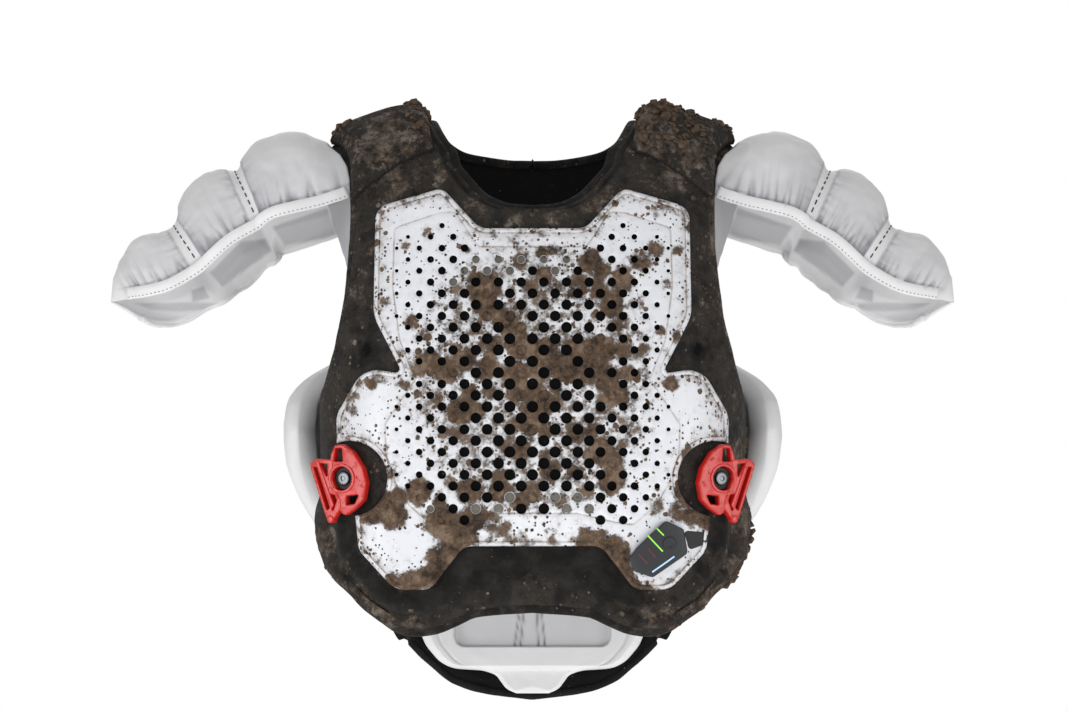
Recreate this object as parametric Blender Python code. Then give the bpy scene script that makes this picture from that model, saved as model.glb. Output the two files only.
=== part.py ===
"""Airbag vest with a pierced chest plate, shown with its airbags full.

Metres, +Z up, the chest faces -Y. The origin lies between the shoulders, where
the vest rests on its wearer: at the inner side of the top of the shoulder arch.
"""
import math

import bmesh
import bpy
from mathutils import Vector
from mathutils.geometry import delaunay_2d_cdt

# Vest: the outer face of the padded panels
HALF_WIDTH = 0.186
HEIGHT = 0.500
FRONT_DEPTH = 0.141
BACK_DEPTH = 0.146
PANEL_THICKNESS = 0.012
PANEL_EDGE = 0.005
SHOULDER_FALL = 0.025
SHOULDER_FLAT = 0.100
SHOULDER_TIP = 0.178
FRONT_ROUNDNESS = 3.0
BACK_ROUNDNESS = 2.8
SEAM_GAP = 0.0010
HEM_ROWS = 4
SIDE_EDGE = 0.99

# Shoulder yokes
YOKE_THICKNESS = 0.011
YOKE_EDGE = 0.004
YOKE_GAP = 0.0008
YOKE_INSET = 0.006
YOKE_SLANT = 0.72

# Chest plate
PLATE_HALF_WIDTH = 0.170
PLATE_HEIGHT = 0.350
PLATE_TOP = -0.050
PLATE_STANDOFF = 0.0012
PLATE_THICKNESS = 0.003
RIM_WIDTH = 0.004
RIM_RISE = 0.0015
HOLE_PITCH = 0.0098
HOLE_LARGEST = 0.0100
HOLE_SMALLEST = 0.0040
HOLE_CUT_FROM = 0.0081
HOLE_SIDES = 6
HOLE_TOP = 0.0320
HOLE_ROWS = 27
OUTLINE_SPACING = 0.013
PLATE_GRID = 0.022

# Levers at the waist
HUB_OUT = 0.158
HUB_DROP = 0.301
HUB_TURN = 30.0
LEVER_RECESS = 0.0325
LEVER_THICKNESS = 0.008
LEVER_LIFT = 0.0068
LEVER_REACH = 0.037
HUB_HOLE = 0.0104
BOSS_CLEARANCE = 0.0004
BOSS_RISE = 0.0035
BASE_RADIUS = 0.0165
BOLT_RADIUS = 0.0058
BOLT_HEIGHT = 0.0022

# Status display on the plate
DISPLAY_WIDTH = 0.052
DISPLAY_HEIGHT = 0.050
DISPLAY_OUT = 0.109
DISPLAY_DROP = 0.362
DISPLAY_RISE = 0.0055
LIGHT_RISE = 0.0010
BUTTON_RADIUS = 0.0058
REST_GAP = 0.0004

# Sleeve airbags
SLEEVE_REACH = 0.189
SLEEVE_DROP = 0.150
SLEEVE_DEPTH = 0.064
SLEEVE_WALL = 0.022
SLEEVE_HEM = 0.007
SLEEVE_GAP = 0.0008

# Back airbag
AIRBAG_WALL = 0.028
AIRBAG_EDGE = 0.009
AIRBAG_PANE = 0.016
AIRBAG_GAP = 0.0009
WING_SPLAY = 0.054
PANE_TOP = 0.80
PANE_BOTTOM = 0.91
PANE_WIDTH = 0.75
SIDE_THICKNESS = 0.005
SIDE_GAP = 0.0068

# Depth of the body from front to back: down is the share of HEIGHT below the
# shoulder line, front and back are shares of the two depths, width of HALF_WIDTH.
BODY_SECTIONS = [
    {"down": 0.000, "front": 0.00, "back": 0.00, "width": 1.29},
    {"down": 0.016, "front": 0.18, "back": 0.18, "width": 1.23},
    {"down": 0.044, "front": 0.32, "back": 0.33, "width": 1.16},
    {"down": 0.090, "front": 0.47, "back": 0.47, "width": 1.11},
    {"down": 0.150, "front": 0.61, "back": 0.60, "width": 1.07},
    {"down": 0.220, "front": 0.73, "back": 0.72, "width": 1.04},
    {"down": 0.300, "front": 0.85, "back": 0.82, "width": 1.02},
    {"down": 0.400, "front": 0.94, "back": 0.91, "width": 1.00},
    {"down": 0.520, "front": 0.99, "back": 0.97, "width": 0.995},
    {"down": 0.640, "front": 1.00, "back": 1.00, "width": 0.99},
    {"down": 0.760, "front": 0.97, "back": 0.99, "width": 0.995},
    {"down": 0.880, "front": 0.91, "back": 0.95, "width": 0.99},
    {"down": 1.010, "front": 0.84, "back": 0.90, "width": 0.97},
]

# One row across each half panel, from its inner edge (neckline or centre line)
# to its outer edge (armhole or side): out is a share of HALF_WIDTH, down of HEIGHT.
FRONT_ROWS = [
    {"in_out": 0.462, "in_down": 0.000, "edge_out": 0.957, "edge_down": 0.048},
    {"in_out": 0.446, "in_down": 0.012, "edge_out": 0.930, "edge_down": 0.054},
    {"in_out": 0.414, "in_down": 0.034, "edge_out": 0.895, "edge_down": 0.064},
    {"in_out": 0.371, "in_down": 0.056, "edge_out": 0.862, "edge_down": 0.084},
    {"in_out": 0.355, "in_down": 0.078, "edge_out": 0.849, "edge_down": 0.108},
    {"in_out": 0.301, "in_down": 0.104, "edge_out": 0.844, "edge_down": 0.164},
    {"in_out": 0.220, "in_down": 0.134, "edge_out": 0.849, "edge_down": 0.212},
    {"in_out": 0.108, "in_down": 0.152, "edge_out": 0.863, "edge_down": 0.262},
    {"in_out": 0.000, "in_down": 0.156, "edge_out": 0.887, "edge_down": 0.326},
    {"in_out": 0.000, "in_down": 0.234, "edge_out": 0.914, "edge_down": 0.374},
    {"in_out": 0.000, "in_down": 0.324, "edge_out": 0.946, "edge_down": 0.414},
    {"in_out": 0.000, "in_down": 0.424, "edge_out": 0.974, "edge_down": 0.454},
    {"in_out": 0.000, "in_down": 0.524, "edge_out": 0.990, "edge_down": 0.500},
    {"in_out": 0.000, "in_down": 0.624, "edge_out": 0.990, "edge_down": 0.560},
    {"in_out": 0.000, "in_down": 0.714, "edge_out": 0.990, "edge_down": 0.620},
    {"in_out": 0.000, "in_down": 0.788, "edge_out": 0.990, "edge_down": 0.664},
    {"in_out": 0.000, "in_down": 0.852, "edge_out": 0.990, "edge_down": 0.700},
]

BACK_ROWS = [
    {"in_out": 0.462, "in_down": 0.000, "edge_out": 0.957, "edge_down": 0.048},
    {"in_out": 0.446, "in_down": 0.012, "edge_out": 0.930, "edge_down": 0.054},
    {"in_out": 0.414, "in_down": 0.034, "edge_out": 0.895, "edge_down": 0.064},
    {"in_out": 0.323, "in_down": 0.058, "edge_out": 0.862, "edge_down": 0.084},
    {"in_out": 0.204, "in_down": 0.068, "edge_out": 0.849, "edge_down": 0.108},
    {"in_out": 0.097, "in_down": 0.073, "edge_out": 0.844, "edge_down": 0.164},
    {"in_out": 0.000, "in_down": 0.074, "edge_out": 0.844, "edge_down": 0.214},
    {"in_out": 0.000, "in_down": 0.160, "edge_out": 0.849, "edge_down": 0.264},
    {"in_out": 0.000, "in_down": 0.260, "edge_out": 0.860, "edge_down": 0.324},
    {"in_out": 0.000, "in_down": 0.360, "edge_out": 0.860, "edge_down": 0.394},
    {"in_out": 0.000, "in_down": 0.460, "edge_out": 0.849, "edge_down": 0.464},
    {"in_out": 0.000, "in_down": 0.560, "edge_out": 0.828, "edge_down": 0.550},
    {"in_out": 0.000, "in_down": 0.660, "edge_out": 0.806, "edge_down": 0.640},
    {"in_out": 0.000, "in_down": 0.760, "edge_out": 0.774, "edge_down": 0.724},
    {"in_out": 0.000, "in_down": 0.850, "edge_out": 0.731, "edge_down": 0.804},
    {"in_out": 0.000, "in_down": 0.940, "edge_out": 0.688, "edge_down": 0.864},
    {"in_out": 0.000, "in_down": 1.011, "edge_out": 0.667, "edge_down": 0.884},
]

# Hem curves: across is the share of the way from the centre to the side edge.
FRONT_HEM = [
    {"across": 0.00, "down": 0.852},
    {"across": 0.17, "down": 0.860},
    {"across": 0.24, "down": 0.876},
    {"across": 0.31, "down": 0.890},
    {"across": 0.38, "down": 0.894},
    {"across": 0.44, "down": 0.888},
    {"across": 0.50, "down": 0.870},
    {"across": 0.59, "down": 0.846},
    {"across": 0.66, "down": 0.822},
    {"across": 0.78, "down": 0.797},
    {"across": 0.87, "down": 0.772},
    {"across": 0.94, "down": 0.738},
    {"across": 1.00, "down": 0.700},
]
BACK_HEM = [
    {"across": 0.00, "down": 1.011},
    {"across": 0.35, "down": 1.000},
    {"across": 0.56, "down": 0.984},
    {"across": 0.70, "down": 0.960},
    {"across": 0.84, "down": 0.934},
    {"across": 0.94, "down": 0.908},
    {"across": 1.00, "down": 0.884},
]

# Corners of the right half of the chest plate, from the top centre down to the
# bottom centre: out is a share of PLATE_HALF_WIDTH, down of PLATE_HEIGHT, and
# round is the corner's radius as a share of PLATE_HALF_WIDTH.
PLATE_UPPER = [
    {"out": 0.27, "down": 0.098, "round": 0.09},
    {"out": 0.46, "down": -0.002, "round": 0.06},
    {"out": 0.80, "down": 0.046, "round": 0.09},
    {"out": 0.81, "down": 0.315, "round": 0.20},
    {"out": 0.66, "down": 0.458, "round": 0.02},
    {"out": 0.86, "down": 0.444, "round": 0.13},
    {"out": 1.00, "down": 0.560, "round": 0.15},
]
PLATE_LOWER = [
    {"out": 0.885, "down": 0.895, "round": 0.10},
    {"out": 0.70, "down": 0.992, "round": 0.12},
    {"out": 0.52, "down": 0.992, "round": 0.08},
    {"out": 0.35, "down": 0.884, "round": 0.09},
]
# Zone of the holes, inside the thin raised line of the plate
HOLE_ZONE = [
    {"out": 0.27, "down": 0.150},
    {"out": 0.45, "down": 0.060},
    {"out": 0.73, "down": 0.100},
    {"out": 0.73, "down": 0.330},
    {"out": 0.60, "down": 0.460},
    {"out": 0.75, "down": 0.560},
    {"out": 0.74, "down": 0.670},
    {"out": 0.60, "down": 0.810},
    {"out": 0.38, "down": 0.845},
    {"out": 0.22, "down": 0.815},
    {"out": 0.00, "down": 0.810},
]

# Lever, as seen square on: out (away from the chest's centre) and up are shares
# of LEVER_REACH from the hub. The wing is the pull at its outer side.
LEVER_OUTLINE = [
    {"out": 0.00, "up": 0.80},
    {"out": 0.26, "up": 0.74},
    {"out": 0.36, "up": 0.44},
    {"out": 0.70, "up": 0.45},
    {"out": 0.84, "up": 0.33},
    {"out": 0.82, "up": 0.22},
    {"out": 0.38, "up": -0.92},
    {"out": 0.20, "up": -0.97},
    {"out": 0.00, "up": -0.80},
    {"out": -0.02, "up": -0.52},
    {"out": -0.36, "up": -0.66},
    {"out": -0.60, "up": -0.48},
    {"out": -0.65, "up": -0.10},
    {"out": -0.50, "up": 0.30},
    {"out": -0.28, "up": 0.64},
]
LEVER_WINDOWS = [
    [{"out": 0.22, "up": 0.68}, {"out": 0.02, "up": 0.70},
     {"out": 0.00, "up": 0.37}, {"out": 0.24, "up": 0.37}],
    [{"out": -0.12, "up": -0.36}, {"out": -0.46, "up": -0.36}, {"out": -0.36, "up": -0.56}],
    [{"out": 0.56, "up": 0.36}, {"out": 0.39, "up": 0.33}, {"out": 0.39, "up": 0.00}],
    [{"out": 0.74, "up": 0.28}, {"out": 0.66, "up": 0.26},
     {"out": 0.33, "up": -0.70}, {"out": 0.40, "up": -0.72}],
    [{"out": 0.30, "up": -0.38}, {"out": 0.06, "up": -0.40}, {"out": 0.22, "up": -0.80}],
]

# Display housing, from above, clockwise: shares of its width and height
DISPLAY_OUTLINE = [
    {"out": 0.12, "up": 0.50},
    {"out": 0.42, "up": 0.34},
    {"out": 0.49, "up": -0.08},
    {"out": -0.10, "up": -0.50},
    {"out": -0.40, "up": -0.39},
    {"out": -0.50, "up": -0.16},
    {"out": -0.37, "up": 0.03},
    {"out": -0.05, "up": 0.34},
]
DISPLAY_LIGHTS = [
    {"name": "green_light_upper", "out": -0.02, "up": 0.25, "long": 0.15, "tilt": -38},
    {"name": "green_light_lower", "out": -0.10, "up": 0.01, "long": 0.40, "tilt": -45},
    {"name": "blue_light_bar", "out": 0.07, "up": -0.28, "long": 0.46, "tilt": 37},
]
LIGHT_WIDTH = 0.0022

# Sleeve airbag, from the armhole to the tip. The ridge runs along its top and the
# front hem along its lower front edge: out is a share of SLEEVE_REACH from the
# shoulder tip, down of SLEEVE_DROP. fore and aft are shares of SLEEVE_DEPTH, wrap
# is the angle from the ridge to the rear hem, and wall a share of SLEEVE_WALL.
SLEEVE_SECTIONS = [
    {"out": 0.02, "down": 0.060, "hem_out": -0.080, "hem_down": 0.373,
     "fore": 0.80, "aft": 0.88, "wrap": 128, "wall": 0.60},
    {"out": 0.074, "down": 0.047, "hem_out": 0.011, "hem_down": 0.427,
     "fore": 0.86, "aft": 0.94, "wrap": 124, "wall": 0.80},
    {"out": 0.175, "down": 0.013, "hem_out": 0.143, "hem_down": 0.467,
     "fore": 0.94, "aft": 1.00, "wrap": 122, "wall": 1.00},
    {"out": 0.312, "down": 0.060, "hem_out": 0.243, "hem_down": 0.500,
     "fore": 0.95, "aft": 1.00, "wrap": 122, "wall": 0.95},
    {"out": 0.402, "down": 0.160, "hem_out": 0.286, "hem_down": 0.533,
     "fore": 0.93, "aft": 0.98, "wrap": 123, "wall": 0.75},
    {"out": 0.434, "down": 0.220, "hem_out": 0.307, "hem_down": 0.560,
     "fore": 0.89, "aft": 0.94, "wrap": 124, "wall": 0.50},
    {"out": 0.487, "down": 0.213, "hem_out": 0.354, "hem_down": 0.593,
     "fore": 0.91, "aft": 0.95, "wrap": 125, "wall": 0.80},
    {"out": 0.593, "down": 0.293, "hem_out": 0.429, "hem_down": 0.647,
     "fore": 0.92, "aft": 0.95, "wrap": 126, "wall": 1.00},
    {"out": 0.677, "down": 0.420, "hem_out": 0.508, "hem_down": 0.733,
     "fore": 0.87, "aft": 0.91, "wrap": 127, "wall": 0.80},
    {"out": 0.714, "down": 0.547, "hem_out": 0.571, "hem_down": 0.807,
     "fore": 0.80, "aft": 0.84, "wrap": 127, "wall": 0.50},
    {"out": 0.767, "down": 0.573, "hem_out": 0.635, "hem_down": 0.860,
     "fore": 0.77, "aft": 0.81, "wrap": 126, "wall": 0.75},
    {"out": 0.862, "down": 0.620, "hem_out": 0.741, "hem_down": 0.927,
     "fore": 0.72, "aft": 0.75, "wrap": 124, "wall": 0.85},
    {"out": 0.947, "down": 0.747, "hem_out": 0.857, "hem_down": 0.960,
     "fore": 0.59, "aft": 0.61, "wrap": 125, "wall": 0.60},
    {"out": 0.989, "down": 0.853, "hem_out": 0.931, "hem_down": 0.973,
     "fore": 0.40, "aft": 0.41, "wrap": 133, "wall": 0.42},
]
SLEEVE_TIP = {"out": 1.00, "down": 0.987}
SLEEVE_ARC = [0, 18, 38, 58, 76, 90]

# Back airbag, row by row: down is a share of HEIGHT, and end is the angle round the
# back at which the row ends, in degrees (90 is the middle of the side).
AIRBAG_ROWS = [
    {"down": 0.330, "end": 42},
    {"down": 0.375, "end": 55},
    {"down": 0.420, "end": 68},
    {"down": 0.460, "end": 80},
    {"down": 0.500, "end": 88},
    {"down": 0.545, "end": 90},
    {"down": 0.595, "end": 89},
    {"down": 0.645, "end": 84},
    {"down": 0.700, "end": 77},
    {"down": 0.750, "end": 71},
    {"down": 0.800, "end": 62},
    {"down": 0.840, "end": 50},
    {"down": 0.870, "end": 36},
    {"down": 0.900, "end": 32},
    {"down": 0.935, "end": 29},
    {"down": 0.960, "end": 23},
    {"down": 0.972, "end": 12},
    {"down": 1.000, "end": 6.5},
]
# The splay of the wings: how far the bag has moved out at each angle round the back
AIRBAG_SPLAY = [
    {"round": 0, "share": 0.00},
    {"round": 54, "share": 0.00},
    {"round": 62, "share": 0.14},
    {"round": 70, "share": 0.44},
    {"round": 80, "share": 0.80},
    {"round": 90, "share": 1.00},
]
AIRBAG_COLUMNS = 9


def smooth_read(table, key, column, at):
    """Reads a column of a table at any place, on a smooth curve through its rows."""
    if at <= table[0][key]:
        return table[0][column]
    if at >= table[-1][key]:
        return table[-1][column]
    index = next(i for i in range(len(table) - 1) if table[i + 1][key] >= at)
    low, high = table[index], table[index + 1]
    span = high[key] - low[key]

    def slope(i):
        if i == 0:
            return (table[1][column] - table[0][column]) / (table[1][key] - table[0][key])
        if i == len(table) - 1:
            return (table[i][column] - table[i - 1][column]) / (table[i][key] - table[i - 1][key])
        before = (table[i][column] - table[i - 1][column]) / (table[i][key] - table[i - 1][key])
        after = (table[i + 1][column] - table[i][column]) / (table[i + 1][key] - table[i][key])
        return 0.0 if before * after <= 0 else 2 * before * after / (before + after)

    t = (at - low[key]) / span
    start, end = slope(index) * span, slope(index + 1) * span
    return ((2 * t ** 3 - 3 * t ** 2 + 1) * low[column] + (t ** 3 - 2 * t ** 2 + t) * start
            + (3 * t ** 2 - 2 * t ** 3) * high[column] + (t ** 3 - t ** 2) * end)


def blend(a, b, share):
    return a + (b - a) * share


def shoulder_line(out):
    """Height of the top of the shoulder arch at a distance out from the centre."""
    share = max(0.0, (abs(out) - SHOULDER_FLAT) / (SHOULDER_TIP - SHOULDER_FLAT))
    return PANEL_THICKNESS - SHOULDER_FALL * share ** 1.4


def body_point(turn, arch, side=1):
    """A point on the panels' outer face.

    arch runs from 0 on the shoulder line to 1 at the hem, and below 0 down the back;
    its square is the share of HEIGHT below the shoulder line. turn is the angle from
    the chest's centre line (or the back's) to the side, in degrees.
    """
    facing = "front" if arch >= 0 else "back"
    depth = FRONT_DEPTH if arch >= 0 else BACK_DEPTH
    power = FRONT_ROUNDNESS if arch >= 0 else BACK_ROUNDNESS
    share = math.sin(math.radians(turn))
    height = PANEL_THICKNESS - HEIGHT * arch * arch
    for _ in range(4):
        down = (PANEL_THICKNESS - height) / HEIGHT
        out = HALF_WIDTH * smooth_read(BODY_SECTIONS, "down", "width", down) * share
        height = shoulder_line(out) - HEIGHT * arch * arch
    reach = depth * smooth_read(BODY_SECTIONS, "down", facing, arch * arch)
    reach *= max(0.0, 1 - abs(share) ** power) ** (1 / power)
    return Vector((side * out, -reach if arch >= 0 else reach, height))


def body_normal(turn, arch, side=1):
    turn = min(max(turn, 0.0), 88.0)
    step_turn, step_arch = 0.5, 0.004
    across = body_point(turn + step_turn, arch, side) - body_point(turn - step_turn, arch, side)
    if abs(arch) <= step_arch:
        return Vector((0, 0, 1))
    along = body_point(turn, arch + step_arch, side) - body_point(turn, arch - step_arch, side)
    normal = along.cross(across).normalized()
    away = body_point(turn, arch, side) - Vector((0, 0, -HEIGHT / 2))
    return normal if normal.dot(away) > 0 else -normal


def place(turn, arch, side=1, lift=0.0):
    return body_point(turn, arch, side) + body_normal(turn, arch, side) * lift


def find_place(out, height, back=False):
    """The turn and arch of the point of the outer face at this distance out and height."""
    out = abs(out)
    arch = math.sqrt(max(0.0, shoulder_line(out) - height) / HEIGHT)
    width = HALF_WIDTH * smooth_read(BODY_SECTIONS, "down", "width", (PANEL_THICKNESS - height) / HEIGHT)
    turn = math.degrees(math.asin(min(1.0, out / width)))
    return turn, -arch if back else arch


def chest_point(out, height, lift):
    """A point in front of the chest, as far out and as high as asked, lift above the panel."""
    side = 1 if out >= 0 else -1
    aim_out, aim_height = abs(out), height
    for _ in range(3):
        turn, arch = find_place(aim_out, aim_height)
        point = place(turn, arch, 1, lift)
        aim_out = max(0.0, aim_out + abs(out) - point.x) if abs(out) > 1e-6 else 0.0
        aim_height += height - point.z
    turn, arch = find_place(aim_out, aim_height)
    point = place(turn, arch, 1, lift)
    return Vector((side * point.x, point.y, point.z))


def new_object(name, bm, colour, roughness, metallic=0.0, sharp=40):
    """Puts a finished mesh into the scene with its own material, smooth but for its edges."""
    bmesh.ops.remove_doubles(bm, verts=bm.verts, dist=0.00002)
    bmesh.ops.recalc_face_normals(bm, faces=bm.faces)
    if bm.calc_volume(signed=True) < 0:
        bmesh.ops.reverse_faces(bm, faces=bm.faces)
    mesh = bpy.data.meshes.new(name)
    bm.to_mesh(mesh)
    bm.free()
    mesh.shade_smooth()
    mesh.set_sharp_from_angle(angle=math.radians(sharp))
    material = bpy.data.materials.new(name)
    material.use_nodes = True
    shader = material.node_tree.nodes["Principled BSDF"]
    shader.inputs["Base Color"].default_value = (*colour, 1)
    shader.inputs["Roughness"].default_value = roughness
    shader.inputs["Metallic"].default_value = metallic
    mesh.materials.append(material)
    obj = bpy.data.objects.new(name, mesh)
    bpy.context.collection.objects.link(obj)
    return obj


def add_shell(bm, outer, inner, closed_start=False):
    """A padded wall between two grids of points, each a list of rows from edge to edge.

    Every edge gets a wall, but for the row starts from closed_start on, which meet
    their mirror image at the centre line.
    """
    rows, columns = len(outer), len(outer[0])
    faces = []
    grids = []
    for points in (outer, inner):
        grids.append([[bm.verts.new(point) for point in row] for row in points])
    for grid, turned in zip(grids, (False, True)):
        for r in range(rows - 1):
            for c in range(columns - 1):
                corners = [grid[r][c], grid[r + 1][c], grid[r + 1][c + 1], grid[r][c + 1]]
                faces.append(corners[::-1] if turned else corners)
    out, back = grids
    for c in range(columns - 1):
        faces.append([out[0][c + 1], back[0][c + 1], back[0][c], out[0][c]])
        faces.append([out[-1][c], back[-1][c], back[-1][c + 1], out[-1][c + 1]])
    for r in range(rows - 1):
        faces.append([out[r][-1], out[r + 1][-1], back[r + 1][-1], back[r][-1]])
        if closed_start is False or r < closed_start:
            faces.append([out[r][0], back[r][0], back[r + 1][0], out[r + 1][0]])
    for corners in faces:
        bm.faces.new(corners)


def edge_share(row, column, rows, columns, free_start):
    """How thick a pad is near its edges: 1 in the middle, less in the last two rows."""
    gaps = [row, rows - 1 - row, columns - 1 - column]
    if free_start:
        gaps.append(column)
    return {0: 0.0, 1: 0.75}.get(min(gaps), 1.0)


def panel_grid(rows, hem, back):
    """Places, as turn and arch, of a half panel's grid."""
    columns = [0, 0.10, 0.21, 0.33, 0.45, 0.57, 0.69, 0.80, 0.91, 1.0]
    grid = []
    for number, row in enumerate(rows):
        start, end = (find_place(row[edge + "_out"] * HALF_WIDTH,
                                 body_height(row[edge + "_out"], row[edge + "_down"]), back)
                      for edge in ("in", "edge"))
        if row["edge_out"] >= SIDE_EDGE:
            end = (90.0, end[1])
        fade = max(0.0, 1 - (len(rows) - 1 - number) / HEM_ROWS) ** 1.3
        places = []
        for share in columns:
            turn = blend(start[0], end[0], share)
            down = blend(start[1] ** 2, end[1] ** 2, share)
            out = HALF_WIDTH * math.sin(math.radians(turn))
            fall = (shoulder_line(out) - PANEL_THICKNESS) / HEIGHT
            hem_down = smooth_read(hem, "across", "down", share) + fall
            down = blend(down, hem_down, fade)
            places.append((turn, math.sqrt(down) * (-1 if back else 1)))
        grid.append(places)
    return grid


def body_height(out_share, down_share):
    """Height of a point this share of HEIGHT below the top, and not above the shoulder line."""
    return min(PANEL_THICKNESS - HEIGHT * down_share, shoulder_line(out_share * HALF_WIDTH))


def half_panel(bm, grid, first_centre, side, crest_shift):
    rows, columns = len(grid), len(grid[0])
    outer, inner = [], []
    for r, places in enumerate(grid):
        outer_row, inner_row = [], []
        for c, (turn, arch) in enumerate(places):
            thick = blend(PANEL_EDGE, PANEL_THICKNESS, edge_share(r, c, rows, columns, r < first_centre))
            if r == 0 and c < columns - 1:
                thick = PANEL_THICKNESS
            point = body_point(turn, arch, side)
            normal = body_normal(turn, arch, side)
            if c == 0 and r >= first_centre:
                normal.x = 0
                normal.normalize()
            shift = Vector((0, crest_shift if r == 0 else 0, 0))
            outer_row.append(point + shift)
            inner_row.append(point - normal * thick + shift)
        outer.append(outer_row)
        inner.append(inner_row)
    add_shell(bm, outer, inner, closed_start=first_centre)


def make_front_panel():
    bm = bmesh.new()
    grid = panel_grid(FRONT_ROWS, FRONT_HEM, back=False)
    centre = next(i for i, row in enumerate(FRONT_ROWS) if row["in_out"] == 0)
    for side in (-1, 1):
        half_panel(bm, grid, centre, side, -SEAM_GAP / 2)
    new_object("front_panel", bm, (0.012, 0.011, 0.010), 0.85)


def make_back_panel():
    bm = bmesh.new()
    grid = panel_grid(BACK_ROWS, BACK_HEM, back=True)
    centre = next(i for i, row in enumerate(BACK_ROWS) if row["in_out"] == 0)
    for side in (-1, 1):
        half_panel(bm, grid, centre, side, SEAM_GAP / 2)
    new_object("back_panel", bm, (0.012, 0.011, 0.010), 0.85)


def armhole_out(height):
    """How far out the panels' armhole edge is at this height."""
    edge = [{"height": -row["edge_down"], "out": row["edge_out"]} for row in FRONT_ROWS[:9]]
    edge.reverse()
    return HALF_WIDTH * smooth_read(edge, "height", "out", (height - PANEL_THICKNESS) / HEIGHT)


def make_yoke(name, side):
    """A pad over the top of the shoulder, from its seam on the chest to its seam on the back."""
    arches = [0.335, 0.29, 0.24, 0.18, 0.12, 0.06, 0, -0.06, -0.12, -0.18, -0.24, -0.29, -0.335]
    columns = 7
    outer, inner = [], []
    for r, arch in enumerate(arches):
        edge_row = abs(arch) / arches[0]
        outer_row, inner_row = [], []
        for c in range(columns):
            share = c / (columns - 1)
            # The seams run down towards the armhole, and the pad is cut parallel to them.
            reach = arch * blend(YOKE_SLANT, 1.0, share)
            start = (0.462 - 0.030 * edge_row ** 2) * HALF_WIDTH + YOKE_INSET
            top = shoulder_line(SHOULDER_TIP) - HEIGHT * reach * reach
            end = armhole_out(top) - YOKE_INSET * 0.25
            out = blend(start, end, share)
            height = shoulder_line(out) - HEIGHT * reach * reach
            turn, _ = find_place(out, height)
            thick = blend(YOKE_EDGE, YOKE_THICKNESS, edge_share(r, c, len(arches), columns, True))
            point = body_point(turn, reach, side)
            normal = body_normal(turn, reach, side)
            inner_row.append(point + normal * YOKE_GAP)
            outer_row.append(point + normal * (YOKE_GAP + thick))
        outer.append(outer_row)
        inner.append(inner_row)
    bm = bmesh.new()
    add_shell(bm, outer, inner)
    new_object(name, bm, (0.014, 0.013, 0.012), 0.85)


def make_side_panel(name, side):
    """The cloth between the front panel's side edge and the inside of the back airbag."""
    turns = [89.98, 84, 78, 71, 64]
    downs = [0.480, 0.540, 0.600, 0.650, 0.700]
    outer, inner = [], []
    for down in downs:
        outer_row, inner_row = [], []
        for turn in turns:
            arch = -math.sqrt((down * HEIGHT - PANEL_THICKNESS + shoulder_line(HALF_WIDTH)) / HEIGHT)
            point = body_point(turn, arch, side)
            normal = body_normal(turn, arch, side)
            depth = airbag_offset(turn) - AIRBAG_WALL / 2 - SIDE_GAP
            depth = min(depth, -SEAM_GAP)
            outer_row.append(point + normal * depth)
            inner_row.append(point + normal * (depth - SIDE_THICKNESS))
        outer.append(outer_row)
        inner.append(inner_row)
    bm = bmesh.new()
    add_shell(bm, outer, inner)
    new_object(name, bm, (0.02, 0.02, 0.02), 0.8)


def airbag_offset(turn):
    """How far the middle of the back airbag lies from the back panel's outer face."""
    inside = -(PANEL_THICKNESS + AIRBAG_GAP + AIRBAG_WALL / 2)
    return inside + WING_SPLAY * smooth_read(AIRBAG_SPLAY, "round", "share", turn)


def airbag_thickness(row, share):
    """Full at the rim tubes, thinner in the panes between them."""
    rows = len(AIRBAG_ROWS)
    if share in (-1, 1) or row in (0, rows - 1):
        return AIRBAG_EDGE
    down = AIRBAG_ROWS[row]["down"]
    if PANE_TOP <= down <= PANE_BOTTOM and abs(share) < PANE_WIDTH:
        return AIRBAG_PANE
    return AIRBAG_WALL


def make_back_airbag():
    outer, inner = [], []
    for r, row in enumerate(AIRBAG_ROWS):
        outer_row, inner_row = [], []
        for c in range(-AIRBAG_COLUMNS, AIRBAG_COLUMNS + 1):
            share = c / AIRBAG_COLUMNS
            side = -1 if share < 0 else 1
            turn = abs(share) * row["end"]
            out = HALF_WIDTH * math.sin(math.radians(turn))
            arch = -math.sqrt((row["down"] * HEIGHT - PANEL_THICKNESS + shoulder_line(out)) / HEIGHT)
            point = body_point(turn, arch, side)
            normal = body_normal(turn, arch, side)
            if c == 0:
                normal.x = 0
                normal.normalize()
            middle = airbag_offset(turn)
            half = airbag_thickness(r, share) / 2
            outer_row.append(point + normal * (middle + half))
            inner_row.append(point + normal * (middle - half))
        outer.append(outer_row)
        inner.append(inner_row)
    bm = bmesh.new()
    add_shell(bm, outer, inner)
    new_object("back_airbag", bm, (0.75, 0.75, 0.76), 0.6)


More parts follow.
